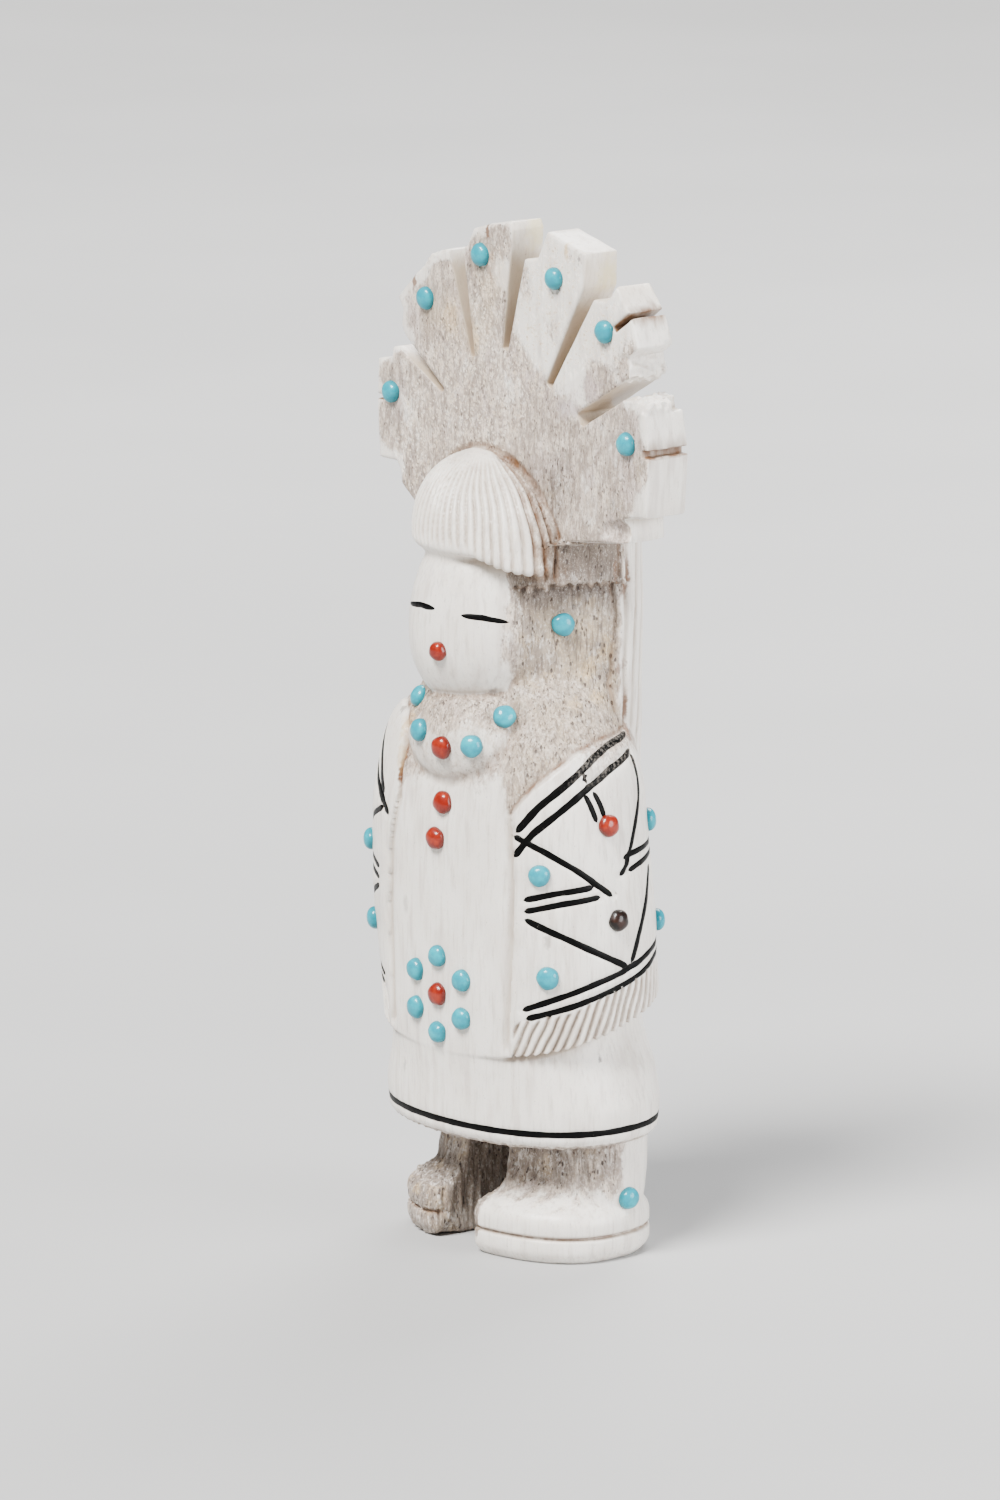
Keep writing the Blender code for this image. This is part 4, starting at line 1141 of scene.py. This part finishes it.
class Nodes:
    """Short calls to build a material's nodes."""

    def __init__(self, name):
        self.material = bpy.data.materials.new(name)
        self.material.use_nodes = True
        self.tree = self.material.node_tree
        self.shader = self.tree.nodes["Principled BSDF"]
        self.place = self.add("ShaderNodeTexCoord", {}).outputs["Object"]

    def add(self, kind, inputs, **settings):
        """A node with its settings, and with a value or another node's output in each named input."""
        node = self.tree.nodes.new(kind)
        for name, value in settings.items():
            setattr(node, name, value)
        for name, value in inputs.items():
            self.put(value, node.inputs[name])
        return node

    def put(self, value, target):
        if hasattr(value, "is_linked"):
            self.tree.links.new(value, target)
        else:
            target.default_value = value

    def shade(self, **values):
        """Puts values or outputs in the shader's inputs, whose names have _ for a space here."""
        for name, value in values.items():
            self.put(value, self.shader.inputs[name.replace("_", " ")])

    def stretched(self, scale):
        return self.add("ShaderNodeMapping", {"Vector": self.place, "Scale": scale}).outputs["Vector"]

    def noise(self, scale, detail=3.0, rough=0.5):
        inputs = {"Vector": self.stretched(scale), "Scale": 1.0, "Detail": detail, "Roughness": rough}
        return self.add("ShaderNodeTexNoise", inputs).outputs["Fac"]

    def cells(self, scale):
        inputs = {"Vector": self.stretched(scale), "Scale": 1.0}
        return self.add("ShaderNodeTexVoronoi", inputs).outputs["Distance"]

    def wobbled(self, scale, amount):
        """The object's places, shaken by a fine noise so that marks have ragged edges."""
        inputs = {"Vector": self.place, "Scale": scale, "Detail": 3.0}
        noise = self.add("ShaderNodeTexNoise", inputs).outputs["Color"]
        shift = self.add("ShaderNodeVectorMath", {0: noise, 1: (0.5, 0.5, 0.5)}, operation="SUBTRACT")
        inputs = {0: shift.outputs["Vector"], 1: (amount, amount, amount), 2: self.place}
        return self.add("ShaderNodeVectorMath", inputs, operation="MULTIPLY_ADD").outputs["Vector"]

    def mark(self, colour, wobble, place, sizes, tone, strength):
        vector = wobble[min(sizes) < SMALL_MARK]
        inputs = {"Vector": vector, "Location": to_frame(place), "Scale": np.array(sizes) * MM}
        local = self.add("ShaderNodeMapping", inputs, vector_type="TEXTURE").outputs["Vector"]
        away = self.add("ShaderNodeVectorMath", {0: local}, operation="LENGTH").outputs["Value"]
        return self.mix(self.ramp(away, 1.35, 0.45, 0.0, strength), colour, tone)

    def attribute(self, name):
        return self.add("ShaderNodeAttribute", {}, attribute_name=name).outputs["Fac"]

    def math(self, kind, a, b, clamp=False):
        return self.add("ShaderNodeMath", {0: a, 1: b}, operation=kind, use_clamp=clamp).outputs[0]

    def times(self, first, *others, clamp=False):
        for other in others:
            first = self.math("MULTIPLY", first, other, clamp)
        return first

    def ramp(self, value, low, high, to_low=0.0, to_high=1.0):
        inputs = {"Value": value, "From Min": low, "From Max": high, "To Min": to_low, "To Max": to_high}
        return self.add("ShaderNodeMapRange", inputs, interpolation_type="SMOOTHSTEP").outputs["Result"]

    def mix(self, share, a, b, blend="MIX"):
        a, b = ((*c, 1) if isinstance(c, tuple) else c for c in (a, b))
        inputs = {"Factor": share, "A": a, "B": b}
        return self.add("ShaderNodeMix", inputs, data_type="RGBA", blend_type=blend).outputs["Result"]

    def tinted(self, colour, *tints):
        """A colour with tones laid over it, each where a noise of its own rises from low to high."""
        for noise, low, high, strength, tone in tints:
            colour = self.mix(self.ramp(self.noise(*noise), low, high, 0, strength), colour, tone)
        return colour

    def bump(self, height, distance, strength=1.0, normal=None):
        inputs = {"Height": height, "Distance": distance, "Strength": strength}
        if normal:
            inputs["Normal"] = normal
        return self.add("ShaderNodeBump", inputs).outputs["Normal"]


# A tint is its noise, from where to where the noise brings it in, its strength and its tone.
GRAIN = ((2600, 2600, 240), 4, 0.6)
CORTEX = (
    (0.86, 0.82, 0.755),
    (((260, 260, 140), 3), 0.35, 0.7, 1.0, (0.78, 0.73, 0.665)),
    (GRAIN, 0.48, 0.74, 0.5, (0.47, 0.41, 0.355)),
    (((800, 800, 110), 3), 0.50, 0.72, 0.6, (0.60, 0.535, 0.48)),
)
LIGHT_CORE = (
    (0.68, 0.58, 0.485),
    (((500, 500, 260), 4, 0.6), 0.35, 0.65, 1.0, (0.51, 0.42, 0.34)),
    (((1500, 1500, 950), 5, 0.7), 0.54, 0.60, 0.45, (0.79, 0.73, 0.66)),
    (((330, 330, 220), 2), 0.52, 0.66, 0.5, (0.52, 0.43, 0.42)),
    (((1700, 1700, 620), 5, 0.75), 0.44, 0.56, 0.9, (0.33, 0.265, 0.225)),
)
DARK_CORE = (
    (0.40, 0.345, 0.295),
    (((420, 420, 300), 4, 0.6), 0.36, 0.62, 1.0, (0.25, 0.205, 0.17)),
    (((480, 480, 400), 3), 0.50, 0.64, 0.7, (0.47, 0.355, 0.23)),
    (((1900, 1900, 560), 5, 0.75), 0.46, 0.60, 0.7, (0.17, 0.13, 0.105)),
    (((1300, 1300, 800), 5, 0.7), 0.53, 0.60, 0.75, (0.68, 0.63, 0.58)),
)


def antler_material():
    """White outer bone, its porous core, the brown and tan that settle in cuts, and painted shade where the
    surface is shut in.
    """
    n = Nodes("antler")
    sponge, stain, hollow, tan = (n.attribute(name) for name in ("sponge", "stain", "hollow", "tan"))
    grain = n.noise(*GRAIN)
    fine = n.noise((5200, 5200, 2600), 4, 0.6)
    porous = n.math("ADD", sponge, n.math("SUBTRACT", n.noise((1500, 1500, 750), 5, 0.75), 0.5))
    colour = n.mix(n.ramp(porous, 0.22, 0.5), n.tinted(*CORTEX), n.tinted(*LIGHT_CORE))
    colour = n.mix(n.ramp(porous, 0.66, 0.98), colour, n.tinted(*DARK_CORE))
    colour = n.mix(n.ramp(porous, 1.05, 1.4), colour, (0.17, 0.13, 0.10))
    colour = n.mix(n.times(tan, 0.8, clamp=True), colour, (0.50, 0.385, 0.25))

    wobble = n.wobbled(1500, 0.0022), n.wobbled(2200, 0.0009)
    for place, sizes, tone, strength in MARKS:
        colour = n.mark(colour, wobble, place, sizes, tone, strength)

    grit = n.noise((4600, 4600, 2500), 4, 0.7)
    amid = n.ramp(sponge, 0.15, 0.6, 0, 0.75)
    colour = n.mix(n.times(n.ramp(grit, 0.52, 0.62), amid), colour, (0.27, 0.22, 0.18))
    colour = n.mix(n.times(n.ramp(grit, 0.46, 0.36, 0, 0.5), amid), colour, (0.80, 0.74, 0.67))
    colour = n.mix(n.ramp(grit, 0.56, 0.68, 0, 0.22), colour, (0.36, 0.32, 0.28))
    streak = n.ramp(n.noise((3000, 3000, 330), 4, 0.65), 0.52, 0.68)
    streak = n.times(streak, n.ramp(sponge, 0.15, 1.0, 0, 0.75))
    colour = n.mix(streak, colour, (0.20, 0.15, 0.12))
    speckle = n.ramp(n.cells((3600, 3600, 1500)), 0.30, 0.14)
    some = n.ramp(n.noise((1500, 1500, 900), 3), 0.50, 0.60)
    speckle = n.times(speckle, some, n.ramp(sponge, 0.1, 0.5, 0.0, 0.9))
    colour = n.mix(speckle, colour, (0.12, 0.09, 0.075))
    pore_cells = n.cells((2300, 2300, 1050))
    few = n.ramp(n.noise((1100, 1100, 700), 2), 0.50, 0.57)
    pores = n.times(n.ramp(pore_cells, 0.36, 0.20), few, n.ramp(sponge, 0.45, 0.85))
    colour = n.mix(n.times(pores, 0.85), colour, (0.05, 0.035, 0.03))
    flaw = n.times(n.ramp(pore_cells, 0.12, 0.06), n.ramp(few, 0.8, 1.0), 0.5)
    colour = n.mix(flaw, colour, (0.12, 0.09, 0.08))

    # Painted shade: the colour is darkened towards a warm brown where the surface is shut in, in corners,
    # creases and cuts.
    colour = n.mix(n.ramp(hollow, 0.15, 0.8, 0, 0.55), colour, (0.46, 0.36, 0.27), "MULTIPLY")
    brown = n.times(stain, n.ramp(n.noise((900, 900, 300), 3), 0.3, 0.62, 0.4, 1.0), clamp=True)
    colour = n.mix(brown, colour, (0.155, 0.072, 0.03))

    pits = n.math("MAXIMUM", n.math("MAXIMUM", pores, speckle), streak)
    normal = n.bump(n.times(pits, -1.0), 0.00012)
    normal = n.bump(n.noise((1400, 1400, 700), 4, 0.65), 0.00008, 0.6, normal)
    normal = n.bump(n.math("ADD", n.times(grain, 0.5), fine), 0.000014, 1.0, normal)
    n.shade(Base_Color=colour, Roughness=n.ramp(porous, 0.2, 0.8, 0.34, 0.66), Normal=normal)
    n.shade(Subsurface_Weight=0.12, Subsurface_Radius=(1.0, 0.7, 0.5), Subsurface_Scale=0.0007)
    n.shade(Specular_IOR_Level=0.45)
    return n.material


def stone_material(name, main, other, dark, coat):
    """Polished stone: two tones, with a dark one in its veins, and painted shade towards its seat."""
    n = Nodes(name)
    colour = n.tinted(main, (((900, 900, 900), 4, 0.6), 0.4, 0.68, 1.0, other))
    colour = n.tinted(colour, (((1500, 1500, 1500), 5, 0.7), 0.66, 0.76, 0.7, dark))
    # Painted shade towards the seat, from the sunk attribute.
    colour = n.mix(n.times(n.attribute("sunk"), 0.7), colour, dark)
    n.shade(Base_Color=colour, Roughness=0.34, Specular_IOR_Level=0.2, Coat_Weight=coat, Coat_Roughness=0.09)
    n.shade(Normal=n.bump(n.noise((2600, 2600, 2600), 3), 0.00002))
    return n.material


def ink_material():
    """Black ink, worn grey in fine scuffs."""
    n = Nodes("ink")
    wear = n.noise((2600, 2600, 2600), 4, 0.7)
    scuffs = n.times(n.attribute("wear"), n.ramp(wear, 0.46, 0.62))
    scuffs = n.math("MAXIMUM", scuffs, n.ramp(wear, 0.68, 0.76))
    n.shade(Base_Color=n.mix(scuffs, (0.001, 0.001, 0.001), (0.15, 0.135, 0.12)))
    n.shade(Roughness=n.ramp(wear, 0.4, 0.75, 0.4, 0.6), Specular_IOR_Level=0.08)
    n.shade(Normal=n.bump(n.noise((2200, 2200, 1500), 3), 0.00003))
    return n.material


def floor_material():
    n = Nodes("floor")
    colour = n.tinted((0.42, 0.42, 0.42), (((9, 9, 9), 3), 0.3, 0.7, 1.0, (0.395, 0.395, 0.395)))
    n.shade(Base_Color=colour, Roughness=0.8)
    return n.material


# The camera's angles, its distance in metres, and the photo's scale and shift in its own pixels.
AZIMUTH, ELEVATION = math.radians(48), math.radians(12)
CAMERA_AWAY = 0.9
AIM_HEIGHT = 52.5
SENSOR = 36
PHOTO_HEIGHT = 1500
PIXELS_PER_MM = 9.5
PHOTO_SHIFT = 24


def camera_axes():
    """The picture's own right, and the way from the figure back to the camera."""
    right = Vector((math.cos(AZIMUTH), math.sin(AZIMUTH), 0))
    level = math.cos(ELEVATION)
    back = Vector((math.sin(AZIMUTH) * level, -math.cos(AZIMUTH) * level, math.sin(ELEVATION)))
    return right, back


def make_camera():
    right, back = camera_axes()
    target = Vector(to_frame(Vector((0, 0, AIM_HEIGHT)) - right * (PHOTO_SHIFT / PIXELS_PER_MM)))
    data = bpy.data.cameras.new("camera")
    data.sensor_width = SENSOR
    data.lens = PIXELS_PER_MM * (CAMERA_AWAY / MM) / PHOTO_HEIGHT * SENSOR
    data.clip_start = 0.05
    data.clip_end = 20
    camera = new_object("camera", data)
    camera.location = target + back * CAMERA_AWAY
    camera.rotation_euler = back.to_track_quat("Z", "Y").to_euler()
    bpy.context.scene.camera = camera


def add_light(name, kind, place, aim, power, colour, **settings):
    """A light at a place, turned towards its aim."""
    data = bpy.data.lights.new(name, kind)
    for setting, value in settings.items():
        setattr(data, setting, value)
    data.energy = power
    data.color = colour
    light = new_object(name, data)
    light.location = place
    light.rotation_euler = (place - aim).to_track_quat("Z", "Y").to_euler()


def make_stage():
    """A pale floor, a soft key light from far off, a fill, a light from behind and a dim room."""
    bpy.ops.mesh.primitive_plane_add(size=6, location=(0, 0, 0))
    floor = bpy.context.object
    floor.name = "floor"
    floor.data.materials.append(floor_material())
    right, back = camera_axes()
    flat = Vector((back.x, back.y, 0)).normalized()
    key = -right * 0.35 + flat * 0.42 + Vector((0, 0, 0.795))
    fill = right * 0.75 + flat * 0.45 + Vector((0, 0, 0.3))
    behind = -flat * 0.6 + right * 0.2 + Vector((0, 0, 0.7))
    middle = Vector((0, 0, 0.055))
    add_light("key", "SUN", key, Vector(), 10.2, (1.0, 0.985, 0.96), angle=math.radians(24))
    add_light("fill", "AREA", fill, middle, 12.5, (0.98, 0.985, 1.0), shape="DISK", size=0.6)
    add_light("back", "AREA", behind, middle, 9.0, (1, 1, 1), shape="DISK", size=0.5)
    world = bpy.data.worlds.new("studio")
    world.use_nodes = True
    background = world.node_tree.nodes["Background"]
    background.inputs["Color"].default_value = (0.93, 0.95, 1.0, 1)
    background.inputs["Strength"].default_value = 0.21
    bpy.context.scene.world = world


# Each kind of stone has two main tones, a dark one for its veins and for its painted shade, and how glossy it
# is.
STONE_TONES = {
    "turquoise": ((0.0002, 0.255, 0.335), (0.001, 0.36, 0.44), (0.0003, 0.13, 0.165), 0.45),
    "coral": ((0.185, 0.008, 0.002), (0.30, 0.024, 0.007), (0.08, 0.004, 0.0015), 0.5),
    "jet": ((0.006, 0.003, 0.002), (0.03, 0.012, 0.008), (0.002, 0.001, 0.001), 0.3),
}

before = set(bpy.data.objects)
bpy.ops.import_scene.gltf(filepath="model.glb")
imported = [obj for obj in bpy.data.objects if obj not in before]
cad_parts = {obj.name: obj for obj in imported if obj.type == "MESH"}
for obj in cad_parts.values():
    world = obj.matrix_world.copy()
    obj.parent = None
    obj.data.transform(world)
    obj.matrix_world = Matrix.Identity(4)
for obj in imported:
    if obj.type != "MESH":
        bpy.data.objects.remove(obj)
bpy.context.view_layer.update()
make_camera()
make_stage()
carving = make_carving()
carving.data.materials.append(antler_material())
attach(carving, "root")
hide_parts("antler_carving")
skin = Skin(carving)
stone_materials = {kind: stone_material(kind, *tones) for kind, tones in STONE_TONES.items()}
stone_draw = np.random.default_rng(3)
for stone_name, kind, bearing, offset, height in stone_places():
    seat = skin.seat(bearing, offset, height)
    make_stone(stone_name, kind, seat, base_normal(tuple(seat)), stone_materials, stone_draw)
make_ink(skin, ink_material())
